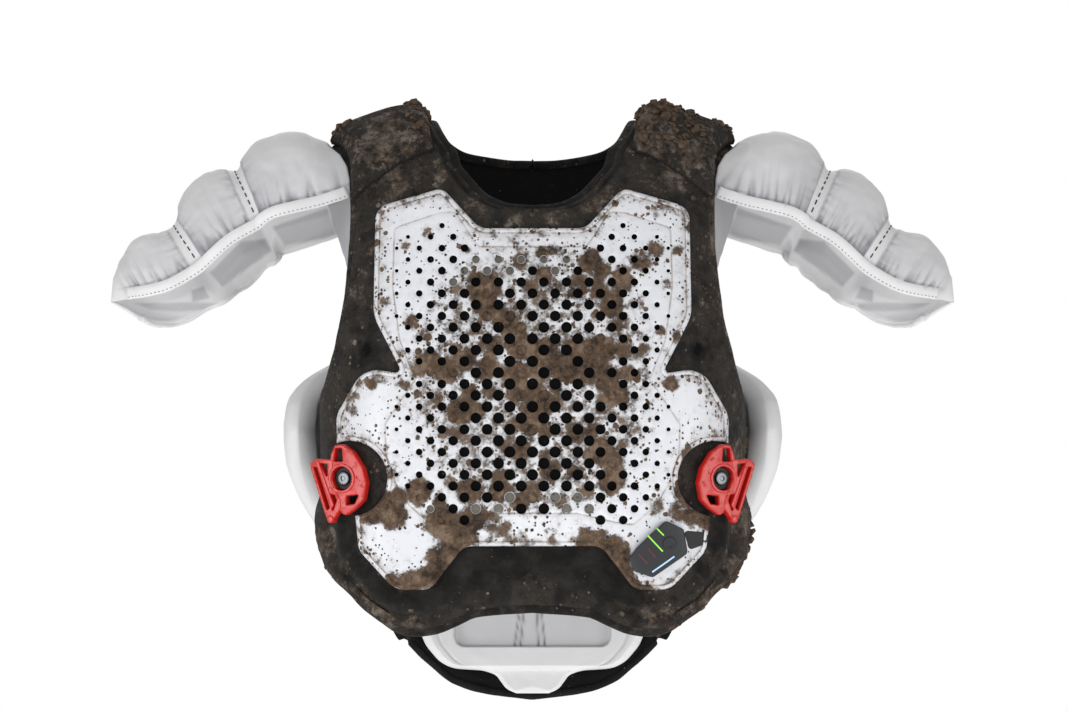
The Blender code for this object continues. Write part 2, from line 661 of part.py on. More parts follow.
def sleeve_arch(section, wall, side):
    """Outer and inner points of one section of a sleeve airbag, front hem to rear hem."""
    ridge = Vector((SHOULDER_TIP + section["out"] * SLEEVE_REACH, 0, -section["down"] * SLEEVE_DROP))
    hem = Vector((SHOULDER_TIP + section["hem_out"] * SLEEVE_REACH, 0,
                  -section["hem_down"] * SLEEVE_DROP))
    rise = ridge - hem
    angles = [-a for a in reversed(SLEEVE_ARC)] + SLEEVE_ARC[1:]
    angles += [blend(90, section["wrap"], 0.5), section["wrap"]]
    rows = []
    for inset in (False, True):
        points = []
        for angle in angles:
            depth = SLEEVE_DEPTH * (section["fore"] if angle < 0 else section["aft"])
            bend = math.radians(abs(angle))
            near_hem = angle <= -76 or angle >= section["wrap"] - 1
            thick = SLEEVE_HEM if angle in (angles[0], angles[-1]) else wall * (0.7 if near_hem else 1.0)
            thick = min(thick, wall) if inset else 0.0
            up = rise * ((rise.length - thick) / rise.length) * math.cos(bend)
            across = math.copysign((depth - thick) * math.sin(bend), angle)
            point = hem + up + Vector((0, across, 0))
            points.append(Vector((side * point.x, point.y, point.z)))
        rows.append(points)
    return rows


def make_sleeve(name, side):
    bm = bmesh.new()
    outer, inner = [], []
    for number, section in enumerate(SLEEVE_SECTIONS):
        wall = SLEEVE_WALL * section["wall"]
        out_row, in_row = sleeve_arch(section, wall, side)
        if number == 0:
            for row in (out_row, in_row):
                for point in row:
                    point.x = side * (armhole_out(point.z + PANEL_THICKNESS) + SLEEVE_GAP)
        outer.append([bm.verts.new(p) for p in out_row])
        inner.append([bm.verts.new(p) for p in in_row])
    tip = Vector((side * (SHOULDER_TIP + SLEEVE_TIP["out"] * SLEEVE_REACH), 0,
                  -SLEEVE_TIP["down"] * SLEEVE_DROP))
    out_tip = bm.verts.new(tip)
    in_tip = bm.verts.new(tip + Vector((-side * SLEEVE_WALL * 0.36, 0, 0.001)))
    count = len(outer[0])
    for r in range(len(outer) - 1):
        for c in range(count - 1):
            bm.faces.new([outer[r][c], outer[r][c + 1], outer[r + 1][c + 1], outer[r + 1][c]])
            bm.faces.new([inner[r][c], inner[r + 1][c], inner[r + 1][c + 1], inner[r][c + 1]])
        bm.faces.new([outer[r][0], outer[r + 1][0], inner[r + 1][0], inner[r][0]])
        bm.faces.new([outer[r][-1], inner[r][-1], inner[r + 1][-1], outer[r + 1][-1]])
    for c in range(count - 1):
        bm.faces.new([outer[0][c], inner[0][c], inner[0][c + 1], outer[0][c + 1]])
        bm.faces.new([outer[-1][c], outer[-1][c + 1], out_tip])
        bm.faces.new([inner[-1][c + 1], inner[-1][c], in_tip])
    bm.faces.new([outer[-1][0], out_tip, in_tip, inner[-1][0]])
    bm.faces.new([out_tip, outer[-1][-1], inner[-1][-1], in_tip])
    new_object(name, bm, (0.75, 0.75, 0.76), 0.6)


def round_corners(corners, spacing):
    """Turns corners, each a point and a radius, into a run of points with round corners."""
    points = []
    for i in range(len(corners)):
        point, radius = corners[i]
        if radius == 0 or i in (0, len(corners) - 1):
            points.append(point)
            continue
        before = (corners[i - 1][0] - point).normalized()
        after = (corners[i + 1][0] - point).normalized()
        half = before.angle(after) / 2
        reach = radius / math.tan(half)
        longest = 0.48 * min((corners[i - 1][0] - point).length, (corners[i + 1][0] - point).length)
        if reach > longest:
            reach = longest
            radius = reach * math.tan(half)
        centre = point + (before + after).normalized() * (radius / math.sin(half))
        start, end = point + before * reach - centre, point + after * reach - centre
        sweep = start.angle_signed(end)
        steps = max(2, math.ceil(abs(sweep) * radius / spacing))
        for step in range(steps + 1):
            turn = sweep * step / steps
            points.append(centre + Vector((start.x * math.cos(turn) + start.y * math.sin(turn),
                                           -start.x * math.sin(turn) + start.y * math.cos(turn))))
    return points


def fill_runs(points, spacing):
    """Adds points along straight runs, so that none is longer than the spacing."""
    filled = []
    for start, end in zip(points, points[1:]):
        steps = max(1, math.ceil((end - start).length / spacing))
        filled += [start.lerp(end, step / steps) for step in range(steps)]
    return filled + [points[-1]]


def plate_half_outline(spacing):
    """The plate's right half, from the top centre to the bottom centre."""
    def corner(row):
        point = Vector((row["out"] * PLATE_HALF_WIDTH, PLATE_TOP - row["down"] * PLATE_HEIGHT))
        return point, row["round"] * PLATE_HALF_WIDTH

    hub = Vector((HUB_OUT, -HUB_DROP))
    # The cut-out round the lever's base, from above the hub round to below it
    bite = []
    steps = max(6, math.ceil(LEVER_RECESS * 3.4 / spacing))
    for step in range(steps + 1):
        turn = math.radians(blend(69, 262, step / steps))
        bite.append((hub + LEVER_RECESS * Vector((math.cos(turn), math.sin(turn))), 0))
    top = Vector((0, PLATE_TOP - PLATE_UPPER[0]["down"] * PLATE_HEIGHT))
    bottom = Vector((0, PLATE_TOP - PLATE_LOWER[-1]["down"] * PLATE_HEIGHT))
    corners = [(top, 0)] + [corner(row) for row in PLATE_UPPER] + bite
    corners += [corner(row) for row in PLATE_LOWER] + [(bottom, 0)]
    return fill_runs(round_corners(corners, spacing), spacing)


def mirrored_loop(half):
    """A closed loop from a half outline whose ends lie on the centre line."""
    return half + [Vector((-p.x, p.y)) for p in reversed(half[1:-1])]


def inset_loop(loop, distance):
    """The loop moved inwards by a distance, square to its own direction."""
    area = sum(a.x * b.y - b.x * a.y for a, b in zip(loop, loop[1:] + loop[:1]))
    turn = 1 if area > 0 else -1
    result = []
    for i, point in enumerate(loop):
        before = (point - loop[i - 1]).normalized()
        after = (loop[(i + 1) % len(loop)] - point).normalized()
        normal = Vector((-(before.y + after.y), before.x + after.x)).normalized() * turn
        stretch = max(0.5, math.sqrt(max(0.0, (1 + before.dot(after)) / 2)))
        result.append(point + normal * (distance / stretch))
    return result


def inside(point, loop):
    hit = False
    for a, b in zip(loop, loop[1:] + loop[:1]):
        if (a.y > point.y) != (b.y > point.y):
            if point.x < (b.x - a.x) * (point.y - a.y) / (b.y - a.y) + a.x:
                hit = not hit
    return hit


def loop_distance(point, loop):
    best = 1.0
    for a, b in zip(loop, loop[1:] + loop[:1]):
        run = b - a
        share = min(1.0, max(0.0, (point - a).dot(run) / max(run.length_squared, 1e-12)))
        best = min(best, (a + run * share - point).length)
    return best


def hole_diameter(point):
    """Holes are largest a little above the plate's middle and shrink towards its edge."""
    out = point.x / (PLATE_HALF_WIDTH * 0.72)
    up = (point.y - (PLATE_TOP - PLATE_HEIGHT * 0.56)) / (PLATE_HEIGHT * 0.47)
    far = min(1.0, out * out + up * up)
    return blend(HOLE_LARGEST, HOLE_SMALLEST, far ** 0.9)


def hole_places():
    """Centres of a checkered pattern of holes that fills the plate's hole zone."""
    half = [Vector((row["out"] * PLATE_HALF_WIDTH, PLATE_TOP - row["down"] * PLATE_HEIGHT))
            for row in HOLE_ZONE]
    half = [Vector((0, half[0].y))] + half
    zone = mirrored_loop(half)
    places = []
    columns = math.ceil(PLATE_HALF_WIDTH / HOLE_PITCH)
    for row in range(HOLE_ROWS):
        for column in range(-columns, columns + 1):
            point = Vector((column * HOLE_PITCH, PLATE_TOP - HOLE_TOP - row * HOLE_PITCH))
            if (row + column) % 2 == 0 and inside(point, zone):
                places.append(point)
    return places


def ring(centre, radius, sides, turn=0.0):
    turns = [turn + 2 * math.pi * i / sides for i in range(sides)]
    return [centre + radius * Vector((math.cos(t), math.sin(t))) for t in turns]


def triangulate(loops, holes, extra):
    """Flat triangles between loops and round holes, as points and corner numbers."""
    points, edges = [], []
    for loop in loops + holes:
        first = len(points)
        points += [Vector(p) for p in loop]
        edges += [(first + i, first + (i + 1) % len(loop)) for i in range(len(loop))]
    points += extra
    flat, _, faces, *_ = delaunay_2d_cdt(points, edges, [], 0, 1e-7)
    kept = []
    for face in faces:
        middle = sum((flat[i] for i in face), Vector((0, 0))) / len(face)
        if inside(middle, loops[0]) and not any(inside(middle, hole) for hole in holes):
            kept.append(face)
    return flat, kept


def solid_between(name, flat, faces, low, high, colour, roughness, metallic=0.0):
    """A solid from flat triangles: low and high give each point's place in space."""
    bm = bmesh.new()
    used = sorted({i for face in faces for i in face})
    below = {i: bm.verts.new(low(flat[i])) for i in used}
    above = {i: bm.verts.new(high(flat[i])) for i in used}
    sides = {}
    for face in faces:
        bm.faces.new([above[i] for i in face])
        bm.faces.new([below[i] for i in reversed(face)])
        for a, b in zip(face, face[1:] + face[:1]):
            sides[(a, b)] = True
    for a, b in sides:
        if (b, a) not in sides:
            bm.faces.new([above[b], above[a], below[a], below[b]])
    return new_object(name, bm, colour, roughness, metallic)


def make_chest_plate():
    outline = mirrored_loop(plate_half_outline(OUTLINE_SPACING))
    rim_edge = inset_loop(outline, RIM_WIDTH)
    holes = []
    for place_of_hole in hole_places():
        size = hole_diameter(place_of_hole)
        if size >= HOLE_CUT_FROM:
            holes.append(ring(place_of_hole, size / 2, HOLE_SIDES, math.pi / 6))
    extra = []
    columns = math.ceil(PLATE_HALF_WIDTH / PLATE_GRID)
    for j in range(math.ceil(PLATE_HEIGHT / PLATE_GRID) + 1):
        for i in range(-columns, columns + 1):
            point = Vector((i * PLATE_GRID + (j % 2) * PLATE_GRID / 2, PLATE_TOP - j * PLATE_GRID))
            clear = all((point - hole[0]).length > PLATE_GRID * 0.6 for hole in holes)
            if clear and inside(point, rim_edge) and loop_distance(point, rim_edge) > PLATE_GRID * 0.45:
                extra.append(point)
    flat, faces = triangulate([outline, rim_edge], holes, extra)

    def low(point):
        return chest_point(point.x, point.y, PLATE_STANDOFF)

    def high(point):
        rise = PLATE_STANDOFF + PLATE_THICKNESS
        if loop_distance(point, outline) < RIM_WIDTH * 0.5:
            rise += RIM_RISE
        return chest_point(point.x, point.y, rise)

    solid_between("chest_plate", flat, faces, low, high, (0.80, 0.80, 0.82), 0.3)


def lever_frame(side):
    """The hub's place on the panel and the lever's own directions: out, up and its axis."""
    hub = chest_point(side * HUB_OUT, -HUB_DROP, 0.0)
    turn = math.radians(HUB_TURN)
    axis = Vector((side * math.sin(turn), -math.cos(turn), 0))
    up = Vector((0, 0, 1))
    out = Vector((side * math.cos(turn), math.sin(turn), 0))
    return hub, out, up, axis


def height_over_panel(point, axis):
    """How far along the axis a point lies above the panel's outer face."""
    low, high = -0.03, 0.05
    for _ in range(40):
        middle = (low + high) / 2
        probe = point - axis * middle
        turn, arch = find_place(probe.x, probe.z)
        face = body_point(turn, arch, 1 if probe.x >= 0 else -1)
        if probe.y < face.y:
            low = middle
        else:
            high = middle
    return low


def make_lever_base(name, side):
    """A round base that follows the panel below, with the boss that the lever turns on."""
    hub, out, up, axis = lever_frame(side)
    sides = 20
    bm = bmesh.new()
    boss = HUB_HOLE - BOSS_CLEARANCE
    top = LEVER_LIFT - REST_GAP
    levels = []
    foot = []
    for point in ring(Vector((0, 0)), BASE_RADIUS, sides):
        start = hub + out * point.x + up * point.y + axis * top
        foot.append(bm.verts.new(start - axis * (height_over_panel(start, axis) - REST_GAP * 2)))
    levels.append(foot)
    for radius, rise in ((BASE_RADIUS, top), (boss, top), (boss, top + BOSS_RISE)):
        levels.append([bm.verts.new(hub + out * p.x + up * p.y + axis * rise)
                       for p in ring(Vector((0, 0)), radius, sides)])
    for low, high in zip(levels, levels[1:]):
        for i in range(sides):
            j = (i + 1) % sides
            bm.faces.new([low[i], low[j], high[j], high[i]])
    bm.faces.new(levels[-1])
    middle = hub + axis * top
    centre = bm.verts.new(middle - axis * (height_over_panel(middle, axis) - REST_GAP * 2))
    for i in range(sides):
        bm.faces.new([foot[(i + 1) % sides], foot[i], centre])
    new_object(name, bm, (0.03, 0.03, 0.03), 0.5)


def make_lever(name, side):
    """The red lever, a flat moulding with windows, hung on an empty at its hub."""
    hub, out, up, axis = lever_frame(side)
    outline = [Vector((row["out"], row["up"])) * LEVER_REACH for row in LEVER_OUTLINE]
    outline = round_corners([(p, LEVER_REACH * 0.06) for p in outline + outline[:2]], 0.003)[1:-1]
    windows = [[Vector((row["out"], row["up"])) * LEVER_REACH for row in window]
               for window in LEVER_WINDOWS]
    holes = [ring(Vector((0, 0)), HUB_HOLE, 20)] + windows
    flat, faces = triangulate([outline], holes, [])

    def low(point):
        return out * point.x + up * point.y + axis * LEVER_LIFT

    def high(point):
        return low(point) + axis * LEVER_THICKNESS

    lever = solid_between(name, flat, faces, low, high, (0.66, 0.03, 0.02), 0.35)
    pivot = bpy.data.objects.new(name + "_pivot", None)
    bpy.context.collection.objects.link(pivot)
    pivot.location = hub
    lever.parent = pivot


def make_lever_bolt(name, side):
    hub, out, up, axis = lever_frame(side)
    low = LEVER_LIFT + BOSS_RISE
    bm = bmesh.new()
    sides = 16
    levels = []
    for radius, share in ((BOLT_RADIUS, 0), (BOLT_RADIUS, 0.6), (BOLT_RADIUS * 0.8, 1)):
        levels.append([bm.verts.new(hub + out * p.x + up * p.y + axis * (low + BOLT_HEIGHT * share))
                       for p in ring(Vector((0, 0)), radius, sides)])
    for below, above in zip(levels, levels[1:]):
        for i in range(sides):
            j = (i + 1) % sides
            bm.faces.new([below[i], below[j], above[j], above[i]])
    bm.faces.new(levels[-1])
    bm.faces.new(levels[0][::-1])
    new_object(name, bm, (0.5, 0.52, 0.52), 0.3, 1.0)


def display_place(out_share, up_share):
    return Vector((DISPLAY_OUT + out_share * DISPLAY_WIDTH, -DISPLAY_DROP + up_share * DISPLAY_HEIGHT))


def make_pad(name, outline, low_lift, high_lift, colour, roughness, extra=()):
    """A low solid that follows the chest between two heights above the panel."""
    flat, faces = triangulate([outline], [], list(extra))
    solid_between(name, flat, faces,
                  lambda p: chest_point(p.x, p.y, low_lift),
                  lambda p: chest_point(p.x, p.y, high_lift),
                  colour, roughness)


def make_display():
    seat = PLATE_STANDOFF + PLATE_THICKNESS + REST_GAP * 2
    top = seat + DISPLAY_RISE
    corners = [display_place(row["out"], row["up"]) for row in DISPLAY_OUTLINE]
    outline = round_corners([(p, 0.003) for p in corners + corners[:2]], 0.003)[1:-1]
    outline = fill_runs(outline + outline[:1], 0.012)[:-1]
    inner = [display_place(-0.16, -0.16), display_place(0.16, 0.10), display_place(0.06, -0.12)]
    make_pad("display_housing", outline, seat, top, (0.035, 0.04, 0.045), 0.45, inner)
    for light in DISPLAY_LIGHTS:
        middle = display_place(light["out"], light["up"])
        tilt = math.radians(light["tilt"])
        along = Vector((math.cos(tilt), math.sin(tilt))) * light["long"] * DISPLAY_WIDTH / 2
        wide = Vector((-math.sin(tilt), math.cos(tilt))) * LIGHT_WIDTH / 2
        bar = [middle - along - wide, middle + along - wide,
               middle + along + wide, middle - along + wide]
        green = light["name"].startswith("green")
        colour = (0.25, 0.75, 0.10) if green else (0.60, 0.75, 0.95)
        make_pad(light["name"], fill_runs(bar + bar[:1], 0.009)[:-1],
                 top + REST_GAP, top + REST_GAP + LIGHT_RISE, colour, 0.3)
    button = ring(display_place(0.21, 0.08), BUTTON_RADIUS, 14)
    make_pad("display_button", button, top + REST_GAP, top + REST_GAP + LIGHT_RISE,
             (0.05, 0.055, 0.06), 0.4)


def main():
    for obj in list(bpy.data.objects):
        bpy.data.objects.remove(obj, do_unlink=True)
    make_front_panel()
    make_back_panel()
    make_chest_plate()
    make_back_airbag()
    make_display()
    for word, side in (("left", -1), ("right", 1)):
        make_yoke("yoke_" + word, side)
        make_side_panel("side_panel_" + word, side)
        make_sleeve("sleeve_airbag_" + word, side)
        make_lever_base("lever_base_" + word, side)
        make_lever("lever_" + word, side)
        make_lever_bolt("lever_bolt_" + word, side)


main()
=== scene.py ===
import math
import random

import bmesh
import bpy
import numpy as np
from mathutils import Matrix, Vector, kdtree, noise
from mathutils.geometry import delaunay_2d_cdt


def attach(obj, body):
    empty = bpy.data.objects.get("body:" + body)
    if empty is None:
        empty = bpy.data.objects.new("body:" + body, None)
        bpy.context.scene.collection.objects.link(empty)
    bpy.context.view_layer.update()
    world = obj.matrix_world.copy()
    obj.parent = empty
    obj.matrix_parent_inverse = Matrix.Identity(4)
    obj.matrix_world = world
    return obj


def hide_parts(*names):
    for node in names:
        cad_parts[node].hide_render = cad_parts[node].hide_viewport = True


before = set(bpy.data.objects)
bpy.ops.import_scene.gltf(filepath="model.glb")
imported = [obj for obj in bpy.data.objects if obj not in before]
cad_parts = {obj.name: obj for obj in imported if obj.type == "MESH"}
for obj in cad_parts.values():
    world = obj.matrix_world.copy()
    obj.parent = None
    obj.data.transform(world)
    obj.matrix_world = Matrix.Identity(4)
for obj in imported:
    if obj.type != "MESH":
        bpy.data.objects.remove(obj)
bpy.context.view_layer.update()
print("frame loaded")

# The vest's own form: the outer face of its padded panels, in metres
vest = {
    "halfWidth": 0.186, "height": 0.500, "frontDepth": 0.141, "backDepth": 0.146,
    "padThickness": 0.012, "shoulderFall": 0.025, "shoulderFlat": 0.100, "shoulderTip": 0.178,
    "frontRoundness": 3.0, "backRoundness": 2.8,
}
sectionDown = [0, .016, .044, .090, .150, .220, .300, .400, .520, .640, .760, .880, 1.010]
sectionFront = [0, .18, .32, .47, .61, .73, .85, .94, .99, 1.0, .97, .91, .84]
sectionBack = [0, .18, .33, .47, .60, .72, .82, .91, .97, 1.0, .99, .95, .90]
sectionWidth = [1.29, 1.23, 1.16, 1.11, 1.07, 1.04, 1.02, 1.0, .995, .99, .995, .99, .97]


def readCurve(xs, ys, at):
    xs, ys, at = (np.asarray(a, float) for a in (xs, ys, at))
    gaps = np.diff(xs)
    rates = np.diff(ys) / gaps
    slopes = np.empty(len(xs))
    slopes[0], slopes[-1] = rates[0], rates[-1]
    both = rates[:-1] * rates[1:]
    total = rates[:-1] + rates[1:]
    slopes[1:-1] = np.where(both > 0, 2 * both / np.where(total == 0, 1, total), 0)
    i = np.clip(np.searchsorted(xs, at, side="right") - 1, 0, len(xs) - 2)
    t = np.clip((at - xs[i]) / gaps[i], 0, 1)
    return ((2 * t**3 - 3 * t**2 + 1) * ys[i] + (t**3 - 2 * t**2 + t) * slopes[i] * gaps[i]
            + (3 * t**2 - 2 * t**3) * ys[i + 1] + (t**3 - t**2) * slopes[i + 1] * gaps[i])


def smoothStep(low, high, value):
    t = np.clip((np.asarray(value, float) - low) / (high - low), 0, 1)
    return t * t * (3 - 2 * t)


def shoulderLine(out):
    share = np.maximum(0, (np.abs(out) - vest["shoulderFlat"]) / (vest["shoulderTip"] - vest["shoulderFlat"]))
    return vest["padThickness"] - vest["shoulderFall"] * share ** 1.4


def bodyPoint(turn, arch, side):
    turn, arch = np.broadcast_arrays(np.asarray(turn, float), np.asarray(arch, float))
    share = np.sin(np.radians(turn))
    height = vest["padThickness"] - vest["height"] * arch**2
    for _ in range(4):
        down = (vest["padThickness"] - height) / vest["height"]
        out = vest["halfWidth"] * readCurve(sectionDown, sectionWidth, down) * share
        height = shoulderLine(out) - vest["height"] * arch**2
    front = arch >= 0
    power = np.where(front, vest["frontRoundness"], vest["backRoundness"])
    reach = np.where(front, vest["frontDepth"] * readCurve(sectionDown, sectionFront, arch**2),
                     vest["backDepth"] * readCurve(sectionDown, sectionBack, arch**2))
    reach = reach * np.maximum(0, 1 - np.abs(share) ** power) ** (1 / power)
    return np.stack([side * out, np.where(front, -reach, reach), height], -1)


def unit(vectors):
    return vectors / np.maximum(np.linalg.norm(vectors, axis=-1, keepdims=True), 1e-12)


def bodyNormal(turn, arch, side):
    turn, arch = np.broadcast_arrays(np.clip(turn, 0, 88.0).astype(float), np.asarray(arch, float))
    across = bodyPoint(turn + 0.5, arch, side) - bodyPoint(turn - 0.5, arch, side)
    along = bodyPoint(turn, arch + 0.004, side) - bodyPoint(turn, arch - 0.004, side)
    normal = unit(np.cross(along, across))
    away = bodyPoint(turn, arch, side) - np.array([0, 0, -vest["height"] / 2])
    normal = np.where((normal * away).sum(-1, keepdims=True) < 0, -normal, normal)
    crest = np.abs(arch)[..., None] <= 0.004
    return np.where(crest, np.array([0.0, 0.0, 1.0]), normal)


def findPlace(out, height, back=False):
    arch = np.sqrt(np.maximum(0, shoulderLine(out) - height) / vest["height"])
    down = (vest["padThickness"] - height) / vest["height"]
    width = vest["halfWidth"] * readCurve(sectionDown, sectionWidth, down)
    turn = np.degrees(np.arcsin(np.minimum(1.0, np.abs(out) / width)))
    return turn, -arch if back else arch


def chestPoint(out, height, lift):
    out, height = (np.asarray(a, float) for a in np.broadcast_arrays(out, height))
    lift = np.broadcast_to(np.asarray(lift, float), out.shape)
    side = np.where(out >= 0, 1.0, -1.0)
    aimOut, aimHeight = np.abs(out), height.copy()
    for _ in range(4):
        turn, arch = findPlace(aimOut, aimHeight)
        point = bodyPoint(turn, arch, 1) + bodyNormal(turn, arch, 1) * lift[..., None]
        aimOut = np.where(np.abs(out) > 1e-6, np.maximum(0, aimOut + np.abs(out) - point[..., 0]), 0)
        aimHeight = aimHeight + height - point[..., 2]
    point[..., 0] *= side
    return point


# How the photo lies over the vest: its middle column, the row of height 0 and metres to a pixel
photo = {"middle": 532.5, "zeroRow": 131.6, "pixel": 0.00087}


def fromPhoto(x, y):
    return (x - photo["middle"]) * photo["pixel"], (photo["zeroRow"] - y) * photo["pixel"]


def toPhoto(out, height):
    return photo["middle"] + out / photo["pixel"], photo["zeroRow"] - height / photo["pixel"]


def addMesh(name, points, faces, material):
    mesh = bpy.data.meshes.new(name)
    mesh.from_pydata([tuple(p) for p in points], [], [tuple(int(i) for i in f) for f in faces])
    mesh.materials.append(material)
    obj = bpy.data.objects.new(name, mesh)
    bpy.context.collection.objects.link(obj)
    bm = bmesh.new()
    bm.from_mesh(mesh)
    bmesh.ops.remove_doubles(bm, verts=bm.verts, dist=0.00001)
    bmesh.ops.recalc_face_normals(bm, faces=bm.faces)
    if bm.calc_volume(signed=True) < 0:
        bmesh.ops.reverse_faces(bm, faces=bm.faces)
    bm.to_mesh(mesh)
    bm.free()
    mesh.shade_smooth()
    return obj


def putValue(obj, name, values):
    attribute = obj.data.attributes.new(name, "FLOAT", "POINT")
    attribute.data.foreach_set("value", np.asarray(values, np.float32))


def keepValues(obj, points, **named):
    # Merging doubles can leave fewer vertices, so each takes the values of the point that it lies on
    tree = kdtree.KDTree(len(points))
    for i, p in enumerate(points):
        tree.insert(p, i)
    tree.balance()
    order = np.array([tree.find(v.co)[1] for v in obj.data.vertices])
    for name, values in named.items():
        putValue(obj, name, np.asarray(values)[order])


def pointsOf(obj):
    found = np.empty(len(obj.data.vertices) * 3, np.float32)
    obj.data.vertices.foreach_get("co", found)
    return found.reshape(-1, 3).astype(float)


def shellFaces(rows, columns, offset):
    faces = []
    for r in range(rows - 1):
        for c in range(columns - 1):
            a = r * columns + c
            faces.append((a, a + columns, a + columns + 1, a + 1))
            faces.append((offset + a, offset + a + 1, offset + a + columns + 1, offset + a + columns))
    return faces


def shellRim(rows, columns, offset, openStart=None):
    faces = []
    last = (rows - 1) * columns
    for c in range(columns - 1):
        faces.append((c, c + 1, offset + c + 1, offset + c))
        faces.append((last + c + 1, last + c, offset + last + c, offset + last + c + 1))
    for r in range(rows - 1):
        a, b = r * columns, (r + 1) * columns
        faces.append((a + columns - 1, b + columns - 1, offset + b + columns - 1, offset + a + columns - 1))
        if openStart is None or r < openStart:
            faces.append((b, a, offset + a, offset + b))
    return faces


def addShell(name, outer, inner, material):
    rows, columns = outer.shape[:2]
    count = rows * columns
    points = np.concatenate([outer.reshape(-1, 3), inner.reshape(-1, 3)])
    faces = shellFaces(rows, columns, count) + shellRim(rows, columns, count)
    return addMesh(name, points, faces, material), points


# Materials
def hexColour(text):
    channels = [int(text[i:i + 2], 16) / 255 for i in (1, 3, 5)]
    return tuple(c / 12.92 if c <= 0.04045 else ((c + 0.055) / 1.055) ** 2.4 for c in channels) + (1.0,)


def addNode(tree, kind, inputs=None, **settings):
    node = tree.nodes.new("ShaderNode" + kind)
    for name, value in settings.items():
        setattr(node, name, value)
    for key, value in (inputs or {}).items():
        if isinstance(value, bpy.types.NodeSocket):
            tree.links.new(value, node.inputs[key])
        else:
            node.inputs[key].default_value = value
    return node


def newMaterial(name, colour, roughness, **sockets):
    material = bpy.data.materials.new(name)
    material.use_nodes = True
    shader = material.node_tree.nodes["Principled BSDF"]
    shader.inputs["Base Color"].default_value = hexColour(colour)
    shader.inputs["Roughness"].default_value = roughness
    for key, value in sockets.items():
        shader.inputs[key.replace("_", " ")].default_value = value
    return material, material.node_tree, shader


def mixed(tree, factor, low, high):
    node = addNode(tree, "Mix", {0: factor, 6: low, 7: high}, data_type="RGBA")
    return node.outputs[2]


def ramped(tree, value, low, high, start=0.0, end=1.0):
    return addNode(tree, "MapRange", {"Value": value, "From Min": low, "From Max": high, "To Min": start,
                                      "To Max": end}, interpolation_type="SMOOTHSTEP").outputs[0]


def maths(tree, operation, a, b=0.0):
    return addNode(tree, "Math", {0: a, 1: b}, operation=operation).outputs[0]


def noisy(tree, place, sizeMm, detail=5.0, roughness=0.6):
    return addNode(tree, "TexNoise", {"Vector": place, "Scale": 1000.0 / sizeMm, "Detail": detail,
                                      "Roughness": roughness}, noise_dimensions="3D").outputs["Fac"]


def bumped(tree, height, depthMm, strength=1.0, under=None):
    inputs = {"Height": height, "Distance": depthMm / 1000, "Strength": strength}
    if under is not None:
        inputs["Normal"] = under
    return addNode(tree, "Bump", inputs).outputs[0]


def woven(tree, place, cellMm, randomness):
    return addNode(tree, "TexVoronoi", {"Vector": place, "Scale": 1000.0 / cellMm,
                                        "Randomness": randomness}).outputs["Distance"]


def swung(tree, value, amount):
    # A noise value, moved to lie about zero and scaled
    return maths(tree, "MULTIPLY", maths(tree, "SUBTRACT", value, 0.5), amount)


mudColours = {"dry": "#806c5a", "damp": "#5d4a3a", "deep": "#32271f"}
clothMud = {"dry": "#7c7167", "damp": "#544940", "deep": "#27221e"}


def muddied(tree, shader, clean, cleanRoughness, spots, soft, patchMm, dusty, tones):
    place = addNode(tree, "TexCoord").outputs["Object"]
    amount = addNode(tree, "Attribute", attribute_name="mud").outputs["Fac"]
    patch = noisy(tree, place, patchMm, 7.0, 0.68)
    grain = noisy(tree, place, 1.6, 4.0, 0.7)
    level = maths(tree, "ADD", amount, swung(tree, patch, 1.9))
    level = maths(tree, "ADD", level, swung(tree, grain, 0.25))
    mask = ramped(tree, level, 0.50 - soft, 0.50 + soft)
    for sizeMm, share, reach in spots:
        cells = addNode(tree, "TexVoronoi", {"Vector": place, "Scale": 1000.0 / sizeMm, "Randomness": 1.0})
        picked = addNode(tree, "SeparateColor", {"Color": cells.outputs["Color"]})
        size = maths(tree, "MULTIPLY", ramped(tree, picked.outputs[0], 1 - share, 1.0), reach)
        nearby = maths(tree, "ADD", amount, noisy(tree, place, 60))
        size = maths(tree, "MULTIPLY", size, ramped(tree, nearby, 0.35, 0.95, 0.45, 1.25))
        ragged = maths(tree, "ADD", cells.outputs["Distance"], swung(tree, grain, 0.35))
        mask = maths(tree, "MAXIMUM", mask, ramped(tree, maths(tree, "SUBTRACT", size, ragged), 0.0, 0.07))
    tone = maths(tree, "ADD", maths(tree, "MULTIPLY", noisy(tree, place, 4.5, 7.0, 0.72), 0.45),
                 maths(tree, "MULTIPLY", noisy(tree, place, 15.0, 5.0, 0.6), 0.55))
    brown = mixed(tree, ramped(tree, tone, 0.40, 0.50), hexColour(tones["deep"]), hexColour(tones["damp"]))
    brown = mixed(tree, ramped(tree, tone, 0.50, 0.60), brown, hexColour(tones["dry"]))
    film = maths(tree, "MULTIPLY", ramped(tree, level, 0.0, 0.75), dusty)
    surface = mixed(tree, film, clean, hexColour(tones["dry"]))
    tree.links.new(mixed(tree, mask, surface, brown), shader.inputs["Base Color"])
    tree.links.new(ramped(tree, mask, 0.0, 1.0, cleanRoughness, 0.93), shader.inputs["Roughness"])
    lumps = maths(tree, "MULTIPLY", noisy(tree, place, 3.2, 5.0, 0.65), mask)
    return maths(tree, "ADD", mask, maths(tree, "MULTIPLY", lumps, 1.4))


